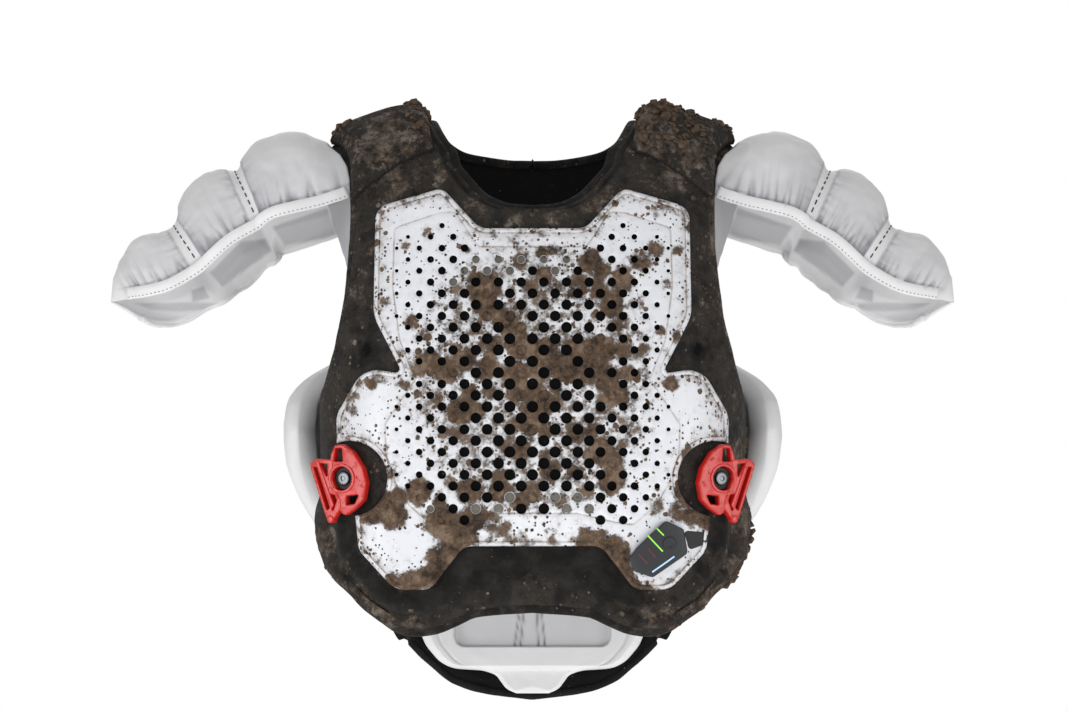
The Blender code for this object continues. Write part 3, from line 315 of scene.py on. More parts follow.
def plateFinish():
    # Injection-moulded white polypropylene: even, satin, with mud dried on it in patches and drops
    material, tree, shader = newMaterial("mouldedWhitePolypropylene", "#eceef2", 0.34, IOR=1.49)
    groove = addNode(tree, "Attribute", attribute_name="groove").outputs["Fac"]
    floor = addNode(tree, "Attribute", attribute_name="floor").outputs["Fac"]
    place = addNode(tree, "TexCoord").outputs["Object"]
    stain = maths(tree, "MULTIPLY", groove, ramped(tree, noisy(tree, place, 9.0), 0.30, 0.62, 0.25, 0.95))
    clean = mixed(tree, stain, hexColour("#eceef3"), hexColour("#8d745d"))
    clean = mixed(tree, floor, clean, hexColour("#6f6a63"))
    drops = [(9.0, 0.22, 0.40), (5.0, 0.30, 0.42), (2.6, 0.30, 0.55)]
    crust = muddied(tree, shader, clean, 0.34, drops, 0.17, 9.0, 0.42, mudColours)
    fine = bumped(tree, noisy(tree, place, 0.9, 2.0), 0.03, 0.5)
    tree.links.new(bumped(tree, crust, 0.9, 0.8, fine), shader.inputs["Normal"])
    return material


def fabricFinish(name, colour, light, mudDepth, patchMm):
    # Black polyester spacer mesh over foam: dull, with a fine open weave and mud rubbed into it
    material, tree, shader = newMaterial(name, colour, 0.9, Sheen_Weight=0.03, Specular_IOR_Level=0.25)
    place = addNode(tree, "TexCoord").outputs["Object"]
    wear = noisy(tree, place, 22.0, 6.0, 0.65)
    clean = mixed(tree, ramped(tree, wear, 0.35, 0.7), hexColour(colour), hexColour(light))
    mudAndPaintedShade = addNode(tree, "Attribute", attribute_name="mud").outputs["Fac"]
    # Painted shade: mud levels below -0.5 paint the cloth near black #040404, on inner faces, in holes and
    # recesses and under the plate
    clean = mixed(tree, ramped(tree, mudAndPaintedShade, -1.0, -0.5), hexColour("#040404"), clean)
    spots = [(7.0, 0.16, 0.4), (3.5, 0.20, 0.45)]
    crust = muddied(tree, shader, clean, 0.9, spots, 0.15, patchMm, 0.24, clothMud)
    threads = bumped(tree, woven(tree, place, 1.6, 0.25), 0.35, 0.6)  # coarser than real, so that it shows
    tree.links.new(bumped(tree, crust, mudDepth, 0.9, threads), shader.inputs["Normal"])
    return material


def airbagFinish():
    # Polyurethane-coated nylon: white, softly shining, with a faint weave and fine creases
    material, tree, shader = newMaterial("coatedNylonWhite", "#e9e9ea", 0.52, Sheen_Weight=0.12,
                                         Sheen_Roughness=0.4)
    place = addNode(tree, "TexCoord").outputs["Object"]
    shade = addNode(tree, "Attribute", attribute_name="shade").outputs["Fac"]
    # Painted shade: the shade attribute greys the white towards #939299 in creases, recesses and grooves
    colour = mixed(tree, shade, hexColour("#ececed"), hexColour("#939299"))
    tree.links.new(colour, shader.inputs["Base Color"])
    crease = noisy(tree, place, 16.0, 4.0, 0.5)
    under = bumped(tree, woven(tree, place, 1.3, 0.1), 0.08, 0.4)
    tree.links.new(bumped(tree, crease, 0.8, 0.35, under), shader.inputs["Normal"])
    return material


def plainFinish(name, colour, roughness, grainMm=0.8, depthMm=0.03, **sockets):
    material, tree, shader = newMaterial(name, colour, roughness, **sockets)
    place = addNode(tree, "TexCoord").outputs["Object"]
    tree.links.new(bumped(tree, noisy(tree, place, grainMm, 3.0), depthMm, 0.6), shader.inputs["Normal"])
    return material


def leverFinish():
    # Moulded red nylon: glossy in the light, edges catching it, dust in the corners
    material, tree, shader = newMaterial("mouldedRedNylon", "#d8302a", 0.33, IOR=1.53)
    place = addNode(tree, "TexCoord").outputs["Object"]
    film = ramped(tree, noisy(tree, place, 6.0, 6.0, 0.7), 0.52, 0.72, 0.0, 0.55)
    tree.links.new(mixed(tree, film, hexColour("#cf231b"), hexColour("#7c3a2c")), shader.inputs["Base Color"])
    tree.links.new(ramped(tree, film, 0.0, 0.5, 0.30, 0.8), shader.inputs["Roughness"])
    tree.links.new(bumped(tree, noisy(tree, place, 1.2, 3.0), 0.04, 0.6), shader.inputs["Normal"])
    return material


def glowFinish(name, colour, strength):
    material, _, shader = newMaterial(name, colour, 0.3)
    shader.inputs["Emission Color"].default_value = hexColour(colour)
    shader.inputs["Emission Strength"].default_value = strength
    return material


def mudFinish():
    # Dried loam: matt, crumbly, light where it has dried through and dark where still damp
    material, tree, shader = newMaterial("driedLoam", "#775f4b", 0.95)
    place = addNode(tree, "TexCoord").outputs["Object"]
    tone = noisy(tree, place, 5.0, 6.0, 0.65)
    deep, damp, dry = (hexColour(mudColours[key]) for key in ("deep", "damp", "dry"))
    brown = mixed(tree, ramped(tree, tone, 0.32, 0.55), deep, damp)
    brown = mixed(tree, ramped(tree, tone, 0.55, 0.78), brown, dry)
    tree.links.new(brown, shader.inputs["Base Color"])
    tree.links.new(bumped(tree, noisy(tree, place, 1.8, 6.0, 0.7), 1.2, 0.9), shader.inputs["Normal"])
    return material


finishes = {
    "plate": plateFinish(),
    "fabric": fabricFinish("spacerMeshBlack", "#121110", "#2b2825", 2.2, 14.0),
    "yoke": fabricFinish("coatedMeshBlack", "#100f0f", "#22201e", 3.2, 9.0),
    "binding": fabricFinish("bindingTapeBlack", "#0d0c0c", "#1f1c1a", 1.6, 12.0),
    "airbag": airbagFinish(),
    # Painted shade: a white strap, coloured light grey to stand for shade
    "gusset": plainFinish("whiteGussetPaintedGrey", "#b4b4b6", 0.85, 1.4, 0.15),
    "stitch": plainFinish("polyesterThreadGrey", "#97979b", 0.8),
    "darkStitch": plainFinish("polyesterThreadDark", "#3f3f44", 0.8),
    "lever": leverFinish(),
    "base": plainFinish("mouldedBlackNylon", "#1f1e1d", 0.55, 1.5, 0.2),
    "bolt": plainFinish("zincPlatedSteel", "#85888c", 0.38, 0.7, 0.02, Metallic=1.0),
    "display": plainFinish("mouldedGreyAbs", "#2a2d30", 0.48, 0.9, 0.05),
    "button": plainFinish("siliconeRubberGrey", "#2b2e31", 0.6),
    "green": glowFinish("greenLightGuide", "#8fd94a", 0.55),
    "blue": glowFinish("blueWhiteLightGuide", "#a9cbe8", 0.55),
    # Unlit red light guides, given a faint painted glow
    "dim": glowFinish("redLightGuideOff", "#5b3338", 0.05),
    "mud": mudFinish(),
}
print("materials made")


def padHeight(outShare, downShare):
    height = vest["padThickness"] - vest["height"] * downShare
    return np.minimum(height, shoulderLine(outShare * vest["halfWidth"]))


def panelPlaces(pad, back, rowCount, columnCount):
    rows, hem = np.array(pad["rows"]), np.array(pad["hem"])
    index = np.arange(len(rows))
    inTurn, inArch = findPlace(rows[:, 0] * vest["halfWidth"], padHeight(rows[:, 0], rows[:, 1]), back)
    edgeTurn, edgeArch = findPlace(rows[:, 2] * vest["halfWidth"], padHeight(rows[:, 2], rows[:, 3]), back)
    edgeTurn = np.where(rows[:, 2] >= 0.99, 90.0, edgeTurn)
    r = np.linspace(0, len(rows) - 1, rowCount)[:, None]
    share = np.linspace(0, 1, columnCount)[None, :]
    turn = readCurve(index, inTurn, r) * (1 - share) + readCurve(index, edgeTurn, r) * share
    down = readCurve(index, inArch**2, r) * (1 - share) + readCurve(index, edgeArch**2, r) * share
    fade = np.maximum(0, 1 - (len(rows) - 1 - r) / pad["hemRows"]) ** 1.3
    fall = (shoulderLine(vest["halfWidth"] * np.sin(np.radians(turn))) - vest["padThickness"]) / vest["height"]
    down = down * (1 - fade) + (readCurve(hem[:, 0], hem[:, 1], share) + fall) * fade
    return turn, np.sqrt(np.maximum(down, 0)) * (-1 if back else 1)


def edgeGaps(points, freeStart):
    across = np.linalg.norm(np.diff(points, axis=1), axis=2)
    along = np.linalg.norm(np.diff(points, axis=0), axis=2)
    fromStart = np.concatenate([np.zeros((len(points), 1)), np.cumsum(across, 1)], 1)
    toEnd = fromStart[:, -1:] - fromStart
    fromTop = np.concatenate([np.zeros((1, points.shape[1])), np.cumsum(along, 0)], 0)
    toHem = fromTop[-1:, :] - fromTop
    start = np.where(freeStart[:, None], fromStart, 1.0)
    return start, toEnd, fromTop, toHem


def noiseAt(points, sizeMm, seed=0, octaves=4):
    shift = Vector((seed * 7.31, seed * 3.17, seed * 5.71))
    flat = points.reshape(-1, 3) * (1000.0 / sizeMm)
    values = [noise.fractal(Vector(p) + shift, 0.8, 2.0, octaves) for p in flat]
    return np.array(values).reshape(points.shape[:-1])


def patchLevel(points, patches, floor=0.0):
    level = np.full(points.shape[:-1], floor)
    for x, y, radius, amount in patches:
        out, height = fromPhoto(x, y)
        gap = np.hypot(points[..., 0] - out, points[..., 2] - height) / (radius * photo["pixel"])
        level = np.maximum(level, amount * (1 - smoothStep(0.55, 1.55, gap)))
    return level


def sweepBand(name, path, outward, normal, profile, material):
    count, size = len(path), len(profile)
    points = []
    for p, e, n in zip(path, outward, normal):
        for across, up in profile:
            points.append(p + e * across / 1000 + n * up / 1000)
    faces = []
    for i in range(count - 1):
        for k in range(size):
            m = (k + 1) % size
            faces.append((i * size + k, i * size + m, (i + 1) * size + m, (i + 1) * size + k))
    faces.append(tuple(range(size)))
    faces.append(tuple((count - 1) * size + k for k in reversed(range(size))))
    return addMesh(name, points, faces, material)


def pathFrames(path, inner, normal):
    tangent = unit(np.gradient(path, axis=0))
    normal = unit(normal - tangent * (normal * tangent).sum(-1, keepdims=True))
    outward = np.cross(tangent, normal)
    side = np.sign((outward * (path - inner)).sum(-1, keepdims=True))
    outward = outward * np.where(side == 0, 1, side)
    for _ in range(4):
        outward[1:-1] = unit(outward[:-2] + outward[1:-1] * 2 + outward[2:])
        normal[1:-1] = unit(normal[:-2] + normal[1:-1] * 2 + normal[2:])
    return outward, normal


def evenPath(path, *others, step=0.002):
    lengths = np.concatenate([[0], np.cumsum(np.linalg.norm(np.diff(path, axis=0), axis=1))])
    at = np.linspace(0, lengths[-1], max(4, int(lengths[-1] / step)))
    return [np.stack([np.interp(at, lengths, a[:, k]) for k in range(3)], 1) for a in (path, *others)]


def addStitches(name, rows, material, lengthMm, gapMm, widthMm, riseMm):
    points, faces = [], []
    for path, normal in rows:
        pitch = (lengthMm + gapMm) / 1000
        path, normal = evenPath(path, normal, step=pitch)
        for i in range(len(path) - 1):
            start = path[i]
            run = unit(path[i + 1] - path[i])
            up = unit(normal[i])
            wide = np.cross(up, run) * widthMm / 2000
            end = start + run * lengthMm / 1000
            first = len(points)
            for p, w in ((start, 0.5), (start + run * 0.0006, 1.0), (end - run * 0.0006, 1.0), (end, 0.5)):
                lift = up * riseMm / 1000 * (1.0 if w == 1.0 else 0.1)
                points += [p - wide * w - up * 0.0003, p + wide * w - up * 0.0003, p + wide * w * 0.6 + lift,
                           p - wide * w * 0.6 + lift]
            for k in range(3):
                a = first + k * 4
                for m in range(4):
                    n = (m + 1) % 4
                    faces.append((a + m, a + n, a + 4 + n, a + 4 + m))
            faces += [tuple(first + n for n in (3, 2, 1, 0)), tuple(first + n for n in (12, 13, 14, 15))]
    return addMesh(name, points, faces, material)


bandProfile = [(-8.0, -0.2), (-7.6, 0.8), (-5.5, 1.35), (-3.0, 1.5), (0.2, 1.2), (2.6, 0.2), (3.9, -1.4),
               (4.2, -3.0), (3.6, -4.8), (1.8, -6.2), (-1.0, -6.6), (-2.0, -4.5), (-0.8, -3.0),
               (-2.5, -0.6)]

frontPad = {
    "rows": [(.462, 0, .957, .048), (.446, .012, .930, .054), (.414, .034, .895, .064),
             (.371, .056, .862, .084), (.355, .078, .849, .108), (.301, .104, .844, .164),
             (.220, .134, .849, .212), (.108, .152, .863, .262), (0, .156, .887, .326),
             (0, .234, .914, .374), (0, .324, .946, .414), (0, .424, .974, .454), (0, .524, .990, .500),
             (0, .624, .990, .560), (0, .714, .990, .620), (0, .788, .990, .664), (0, .852, .990, .700)],
    "hem": [(0, .852), (.17, .860), (.24, .876), (.31, .890), (.38, .894), (.44, .888), (.50, .870),
            (.59, .846), (.66, .822), (.78, .797), (.87, .772), (.94, .738), (1, .700)],
    "hemRows": 4, "centreRow": 8, "detail": 7, "columns": 52,
}
backPad = {
    "rows": [(.462, 0, .957, .048), (.446, .012, .930, .054), (.414, .034, .895, .064),
             (.323, .058, .862, .084), (.204, .068, .849, .108), (.097, .073, .844, .164),
             (0, .074, .844, .214), (0, .160, .849, .264), (0, .260, .860, .324), (0, .360, .860, .394),
             (0, .460, .849, .464), (0, .560, .828, .550), (0, .660, .806, .640), (0, .760, .774, .724),
             (0, .850, .716, .800), (0, .940, .670, .858), (0, 1.011, .646, .876)],
    "hem": [(0, 1.009), (.35, .998), (.56, .980), (.70, .954), (.84, .926), (.94, .900), (1, .876)],
    "hemRows": 4, "centreRow": 6, "detail": 6, "columns": 44,
}

# Corners of the chest plate: shares of its half width and height, and each corner's radius
plate = {
    "halfWidth": 0.170, "height": 0.350, "top": -0.050, "standoff": 0.0012, "thickness": 0.003,
    "upper": [(.27, .098, .09), (.46, -.002, .06), (.80, .046, .09), (.81, .315, .20), (.66, .458, .02),
              (.86, .444, .13), (1.0, .560, .15)],
    "lower": [(.885, .895, .10), (.70, .992, .12), (.52, .992, .08), (.35, .884, .09)],
    "hub": (0.158, -0.301), "recess": 0.0325,
    "zone": [(0, .150), (.27, .150), (.45, .070), (.73, .120), (.73, .330), (.60, .460), (.75, .560),
             (.74, .670), (.60, .810), (.38, .845), (.22, .815), (0, .810)],
    "pitch": 0.0098, "firstRow": 0.032, "rows": 27, "largest": 0.0100, "smallest": 0.0040,
    "line": [(0, -.1004), (.047, -.1004), (.067, -.070), (.0805, -.071), (.1196, -.084), (.121, -.135),
             (.115, -.181), (.101, -.216), (.104, -.219), (.1275, -.2535), (.1266, -.280), (.119, -.304),
             (.1066, -.324), (.0874, -.341), (.0726, -.339), (.0387, -.331), (0, -.331)],
    "holeSides": 14, "lip": 0.0009,
    "greyHoles": [(-5, 3), (-3, 3), (-1, 3), (1, 3), (3, 3), (-6, 4), (-4, 4), (-2, 4), (2, 4), (-7, 5),
                  (-5, 24), (-2, 24), (2, 24), (4, 24), (-9, 25), (-5, 25), (-3, 25), (3, 25), (5, 25)],
}


def circle(radius, sides, middle=(0, 0)):
    turns = [2 * math.pi * k / sides for k in range(sides)]
    return [(middle[0] + radius * math.cos(t), middle[1] + radius * math.sin(t)) for t in turns]


def roundCorners(corners, spacing):
    points = []
    for i, (point, radius) in enumerate(corners):
        if radius == 0 or i in (0, len(corners) - 1):
            points.append(Vector(point))
            continue
        point = Vector(point)
        before, after = Vector(corners[i - 1][0]) - point, Vector(corners[i + 1][0]) - point
        longest = 0.48 * min(before.length, after.length)
        before, after = before.normalized(), after.normalized()
        half = before.angle(after) / 2
        reach = min(radius / math.tan(half), longest)
        radius = reach * math.tan(half)
        centre = point + (before + after).normalized() * (radius / math.sin(half))
        start, end = point + before * reach - centre, point + after * reach - centre
        sweep = start.angle_signed(end)
        steps = max(3, math.ceil(abs(sweep) * radius / spacing))
        for step in range(steps + 1):
            t = -sweep * step / steps
            points.append(centre + Vector((start.x * math.cos(t) - start.y * math.sin(t),
                                           start.x * math.sin(t) + start.y * math.cos(t))))
    return points


def fillRuns(points, spacing):
    filled = []
    for start, end in zip(points, points[1:]):
        steps = max(1, math.ceil((end - start).length / spacing))
        filled += [start.lerp(end, s / steps) for s in range(steps)]
    return filled + [points[-1]]


def plateOutline(spacing):
    def corner(row):
        place = (row[0] * plate["halfWidth"], plate["top"] - row[1] * plate["height"])
        return place, row[2] * plate["halfWidth"]

    hub = Vector(plate["hub"])
    steps = math.ceil(plate["recess"] * 3.4 / spacing)
    bite = [(tuple(hub + plate["recess"] * Vector((math.cos(t), math.sin(t)))), 0)
            for t in (math.radians(69 + 193 * s / steps) for s in range(steps + 1))]
    top = ((0, plate["top"] - plate["upper"][0][1] * plate["height"]), 0)
    bottom = ((0, plate["top"] - plate["lower"][-1][1] * plate["height"]), 0)
    corners = [top] + [corner(row) for row in plate["upper"]] + bite + [corner(row) for row in plate["lower"]]
    half = fillRuns(roundCorners(corners + [bottom], spacing), spacing)
    return half + [Vector((-p.x, p.y)) for p in reversed(half[1:-1])]


def insetLoop(loop, distance):
    area = sum(a.x * b.y - b.x * a.y for a, b in zip(loop, loop[1:] + loop[:1]))
    turn = 1 if area > 0 else -1
    moved = []
    for i, point in enumerate(loop):
        before, after = (point - loop[i - 1]).normalized(), (loop[(i + 1) % len(loop)] - point).normalized()
        normal = Vector((-(before.y + after.y), before.x + after.x)).normalized() * turn
        moved.append(point + normal * (distance / max(0.6, math.sqrt(max(0, (1 + before.dot(after)) / 2)))))
    return moved


def segmentGap(points, path):
    points = np.asarray(points, float)
    path = np.array([tuple(p) for p in path])
    best = np.full(len(points), 1e3)
    for a, b in zip(path, np.roll(path, -1, 0)):
        run = b - a
        share = np.clip(((points - a) @ run) / max(run @ run, 1e-12), 0, 1)
        best = np.minimum(best, np.linalg.norm(points - a - share[:, None] * run, axis=1))
    return best


def insideLoop(points, loop):
    points = np.asarray(points, float)
    hit = np.zeros(len(points), bool)
    for a, b in zip(loop, list(loop[1:]) + [loop[0]]):
        crosses = (a[1] > points[:, 1]) != (b[1] > points[:, 1])
        if b[1] != a[1]:
            hit ^= crosses & (points[:, 0] < (b[0] - a[0]) * (points[:, 1] - a[1]) / (b[1] - a[1]) + a[0])
    return hit


plateEdge = plateOutline(0.003)

fabricMud = [(385, 178, 30, .62), (430, 175, 22, .6), (372, 250, 12, .45), (358, 290, 10, .5),
             (660, 172, 30, .5), (690, 170, 25, .5), (470, 215, 22, .5), (535, 218, 40, .45),
             (600, 205, 25, .5), (365, 225, 10, .35), (365, 300, 14, .4), (352, 345, 14, .45),
             (345, 372, 12, .55), (332, 420, 10, .5), (330, 540, 14, .75), (345, 560, 14, .6),
             (360, 590, 14, .6), (385, 612, 16, .6), (415, 625, 16, .65), (450, 612, 14, .55),
             (480, 600, 16, .6), (535, 592, 24, .65), (575, 600, 18, .6), (620, 608, 18, .65),
             (655, 605, 22, .75), (690, 590, 22, .7), (720, 560, 20, .75), (738, 520, 16, .8),
             (742, 480, 14, .8), (735, 450, 14, .7), (705, 250, 10, .4), (705, 320, 14, .4),
             (712, 360, 12, .45), (735, 400, 12, .5), (640, 570, 14, .6), (660, 590, 16, .7)]


def makePanel(name, pad, back, material):
    rowCount = (len(pad["rows"]) - 1) * pad["detail"] + 1
    turn, arch = panelPlaces(pad, back, rowCount, pad["columns"])
    columns = pad["columns"]
    firstJoined = pad["centreRow"] * pad["detail"]
    allPoints, faces, mud = [], [], []
    edges = {}
    for side in (1, -1):
        point = bodyPoint(turn, arch, side)
        normal = bodyNormal(turn, arch, side)
        normal[firstJoined:, 0, 0] = 0
        normal = unit(normal)
        free = np.arange(rowCount) < firstJoined
        start, end, _, hem = edgeGaps(point, free)
        gap = np.minimum(np.minimum(start, end), hem)
        drop = 0.0032 * (1 - smoothStep(0, 0.010, gap)) ** 1.5
        thick = 0.0055 + (vest["padThickness"] - 0.0055) * np.sqrt(smoothStep(0, 0.012, gap))
        if back:
            fold = np.exp(-((np.abs(point[..., 0]) - 0.045) / 0.0025) ** 2)
            quilt = 0.0016 * fold * smoothStep(-0.03, -0.06, point[..., 2])
            relief = -quilt + 0.0007 * noiseAt(point, 45, 3)
            level = 0.18 + 0.5 * smoothStep(-0.40, -0.49, point[..., 2]) + 0.2 * (1 - smoothStep(0, 0.03, gap))
        else:
            flat = point[..., [0, 2]].reshape(-1, 2)
            away = segmentGap(flat, plateEdge).reshape(point.shape[:2])
            away = np.where(insideLoop(flat, [tuple(p) for p in plateEdge]).reshape(away.shape), -away, away)
            low = smoothStep(-0.300, -0.345, point[..., 2])
            relief = 0.0046 * np.exp(-((away - 0.0115) / 0.0055) ** 2) * low
            relief -= 0.0034 * np.exp(-((away - 0.0225) / 0.0024) ** 2) * low
            relief += 0.0022 * np.exp(-((away - 0.0290) / 0.0040) ** 2) * low
            relief -= 0.0024 * np.exp(-((start - 0.0100) / 0.0014) ** 2)
            flank = smoothStep(-0.30, -0.335, point[..., 2]) * smoothStep(-0.395, -0.375, point[..., 2])
            relief += 0.0036 * smoothStep(70, 85, turn) * flank
            relief += 0.0009 * noiseAt(point, 32, 1) * smoothStep(0.0, 0.02, away)
            triangle = np.exp(-((np.abs(point[..., 0]) - 0.146) / 0.014) ** 2
                              - ((point[..., 2] + 0.190) / 0.016) ** 2)
            relief -= 0.0045 * triangle
            # Painted shade: the triangle's recess gets less mud, so it shows darker
            level = patchLevel(point, fabricMud, 0.30) - 0.35 * triangle
            # Less mud and darker in the lower middle, under the plate
            level -= 0.30 * low * smoothStep(0.105, 0.070, np.abs(point[..., 0]))
            eyelet = np.hypot((np.abs(point[..., 0]) - 0.1455) / 0.0042, (point[..., 2] + 0.1885) / 0.0060)
            relief -= 0.0030 * (1 - smoothStep(0.7, 1.15, eyelet))
            # Painted shade: the eyelet's hole is painted near black
            level = np.where(eyelet < 1.0, -1.2, level)
            # Less mud and darker in a band along the plate's lower edge
            level -= 0.55 * np.exp(-((away - 0.010) / 0.009) ** 2) * low
            # Painted shade: darker in the groove beside the neck edge
            level -= 0.40 * np.exp(-((start - 0.0100) / 0.0020) ** 2)
            # Painted shade: the panel under the plate, seen through its holes, is painted near black
            level = np.where(away < -0.004, -1.2, level)
            relief = np.where(away < -0.002, np.minimum(relief, 0), relief)
        crust = noiseAt(point, 7, 5, 3)
        crusted = np.maximum(0, crust) * smoothStep(0.45, 0.8, level) * 0.0022
        if not back:
            crusted *= smoothStep(0.001, 0.006, away)
        outer = point + normal * (relief + crusted - drop)[..., None]
        inner = point - normal * np.minimum(thick + drop * 0.3, vest["padThickness"])[..., None]
        seam = 0.0004 if back else -0.0004
        outer[0, :, 1], inner[0, :, 1] = seam, seam
        outer[firstJoined:, 0, 0] = 0
        inner[firstJoined:, 0, 0] = 0
        offset = sum(len(p) for p in allPoints)
        count = rowCount * columns
        found = shellFaces(rowCount, columns, count) + shellRim(rowCount, columns, count, firstJoined)
        faces += [tuple(i + offset for i in f) for f in found]
        allPoints += [outer.reshape(-1, 3), inner.reshape(-1, 3)]
        # Painted shade: the inner faces get a mud level of -1.2, which paints them near black
        mud += [level.ravel(), np.full(count, -1.2)]
        edges[side] = {"outer": outer, "normal": normal}
    points = np.concatenate(allPoints)
    obj = addMesh(name, points, faces, material)
    keepValues(obj, points, mud=np.concatenate(mud))
    return obj, edges


front, frontEdges = makePanel("frontPad", frontPad, False, finishes["fabric"])
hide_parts("front_panel")
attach(front, "root")
rear, rearEdges = makePanel("backPad", backPad, True, finishes["fabric"])
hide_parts("back_panel")
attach(rear, "root")
print("panels made")


def bandAlong(name, path, inner, normal):
    path, inner, normal = evenPath(path, inner, normal, step=0.0035)
    outward, normal = pathFrames(path, inner, normal)
    obj = sweepBand(name, path, outward, normal, bandProfile, finishes["binding"])
    points = pointsOf(obj)
    level = 0.30 + 0.45 * np.maximum(0, noiseAt(points, 40, 9, 2))
    level += 0.25 * smoothStep(0.05, 0.15, points[:, 0])
    level = np.where((points[:, 1] > 0.02) & (points[:, 2] < -0.40), -0.05, level)
    level = np.where(np.abs(points[:, 0]) < 0.085, level - 0.25, level)
    putValue(obj, "mud", level)
    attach(obj, "root")


def neckPath(edges, pad):
    right, left = edges[1], edges[-1]
    n = pad["centreRow"] * pad["detail"] + 1
    path = np.concatenate([right["outer"][:n, 0], left["outer"][:n - 1, 0][::-1]])
    inner = np.concatenate([right["outer"][:n, 2], left["outer"][:n - 1, 2][::-1]])
    normal = np.concatenate([right["normal"][:n, 0], left["normal"][:n - 1, 0][::-1]])
    return path, inner, normal


def sidePath(edges):
    runs = []
    for side in (1, -1):
        grid, normal = edges[side]["outer"], edges[side]["normal"]
        path = np.concatenate([grid[:, -1], grid[-1, ::-1][1:]])
        inner = np.concatenate([grid[:, -3], grid[-3, ::-1][1:]])
        normals = np.concatenate([normal[:, -1], normal[-1, ::-1][1:]])
        runs.append((path, inner, normals))
    return [np.concatenate([a, b[::-1][1:]]) for a, b in zip(runs[0], runs[1])]


bandAlong("frontNeckBinding", *neckPath(frontEdges, frontPad))
bandAlong("backNeckBinding", *neckPath(rearEdges, backPad))
bandAlong("frontEdgeBinding", *sidePath(frontEdges))
bandAlong("backEdgeBinding", *sidePath(rearEdges))
print("bindings made")

# Shoulder yokes: a pad over each shoulder, with a seamed strip along its lower edges
yoke = {"thickness": 0.0135, "edge": 0.004, "gap": 0.0008, "inset": 0.006, "slant": 0.72, "arch": 0.335}
yokeMud = {
    -1: [(425, 118, 16, .9), (438, 135, 12, .8), (395, 148, 26, .75), (375, 160, 18, .7), (420, 145, 18, .7),
         (345, 150, 12, .5), (332, 135, 8, .9), (405, 120, 14, .5)],
    1: [(645, 115, 22, 1.0), (640, 135, 16, .9), (668, 120, 14, .8), (660, 150, 20, .7), (690, 162, 16, .8),
        (715, 170, 12, .7), (730, 135, 10, .9), (700, 145, 10, .5)],
}


def makeYoke(name, side):
    rowCount, columns = 71, 34
    arch = np.linspace(yoke["arch"], -yoke["arch"], rowCount)[:, None]
    share = np.linspace(0, 1, columns)[None, :]
    edgeRow = np.abs(arch) / yoke["arch"]
    reach = arch * (yoke["slant"] * (1 - share) + share)
    start = (0.462 - 0.030 * edgeRow**2) * vest["halfWidth"] + yoke["inset"]
    top = shoulderLine(vest["shoulderTip"]) - vest["height"] * reach**2
    rows = np.array(frontPad["rows"][:9])
    down = (top - vest["padThickness"]) / vest["height"]
    edge = vest["halfWidth"] * readCurve(-rows[::-1, 3], rows[::-1, 2], down)
    out = start * (1 - share) + (edge - yoke["inset"] * 0.25) * share
    height = shoulderLine(out) - vest["height"] * reach**2
    turn, _ = findPlace(out, height)
    point, normal = bodyPoint(turn, reach, side), bodyNormal(turn, reach, side)
    first, last, above, below = edgeGaps(point, np.ones(rowCount, bool))
    gap = np.minimum(np.minimum(first, last), np.minimum(above, below))
    ends = np.minimum(above, below)
    thick = yoke["edge"] + (yoke["thickness"] - yoke["edge"]) * np.sqrt(smoothStep(0, 0.013, gap))
    relief = -0.0022 * np.exp(-((ends - 0.0085) / 0.0012) ** 2)
    relief -= 0.0010 * np.exp(-((last - 0.009) / 0.001) ** 2)
    level = patchLevel(point, yokeMud[side], 0.44)
    level = np.where(point[..., 1] > 0.004, 0.30 + 0.2 * noiseAt(point, 50, 4, 2), level)
    crust = 0.0030 * np.maximum(0, noiseAt(point, 6.5, 6, 4) + 0.15) * smoothStep(0.4, 0.85, level)
    crust += 0.0008 * noiseAt(point, 18, 7, 3)
    outer = point + normal * (yoke["gap"] + thick + relief + crust)[..., None]
    inner = point + normal * yoke["gap"]
    obj, _ = addShell(name, outer, inner, finishes["yoke"])
    putValue(obj, "mud", np.concatenate([level.ravel(), np.zeros(level.size)]))
    return obj


for word, side in (("left", -1), ("right", 1)):
    pad = makeYoke("yokePad" + word.title(), side)
    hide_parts("yoke_" + word)
    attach(pad, "root")
print("yokes made")

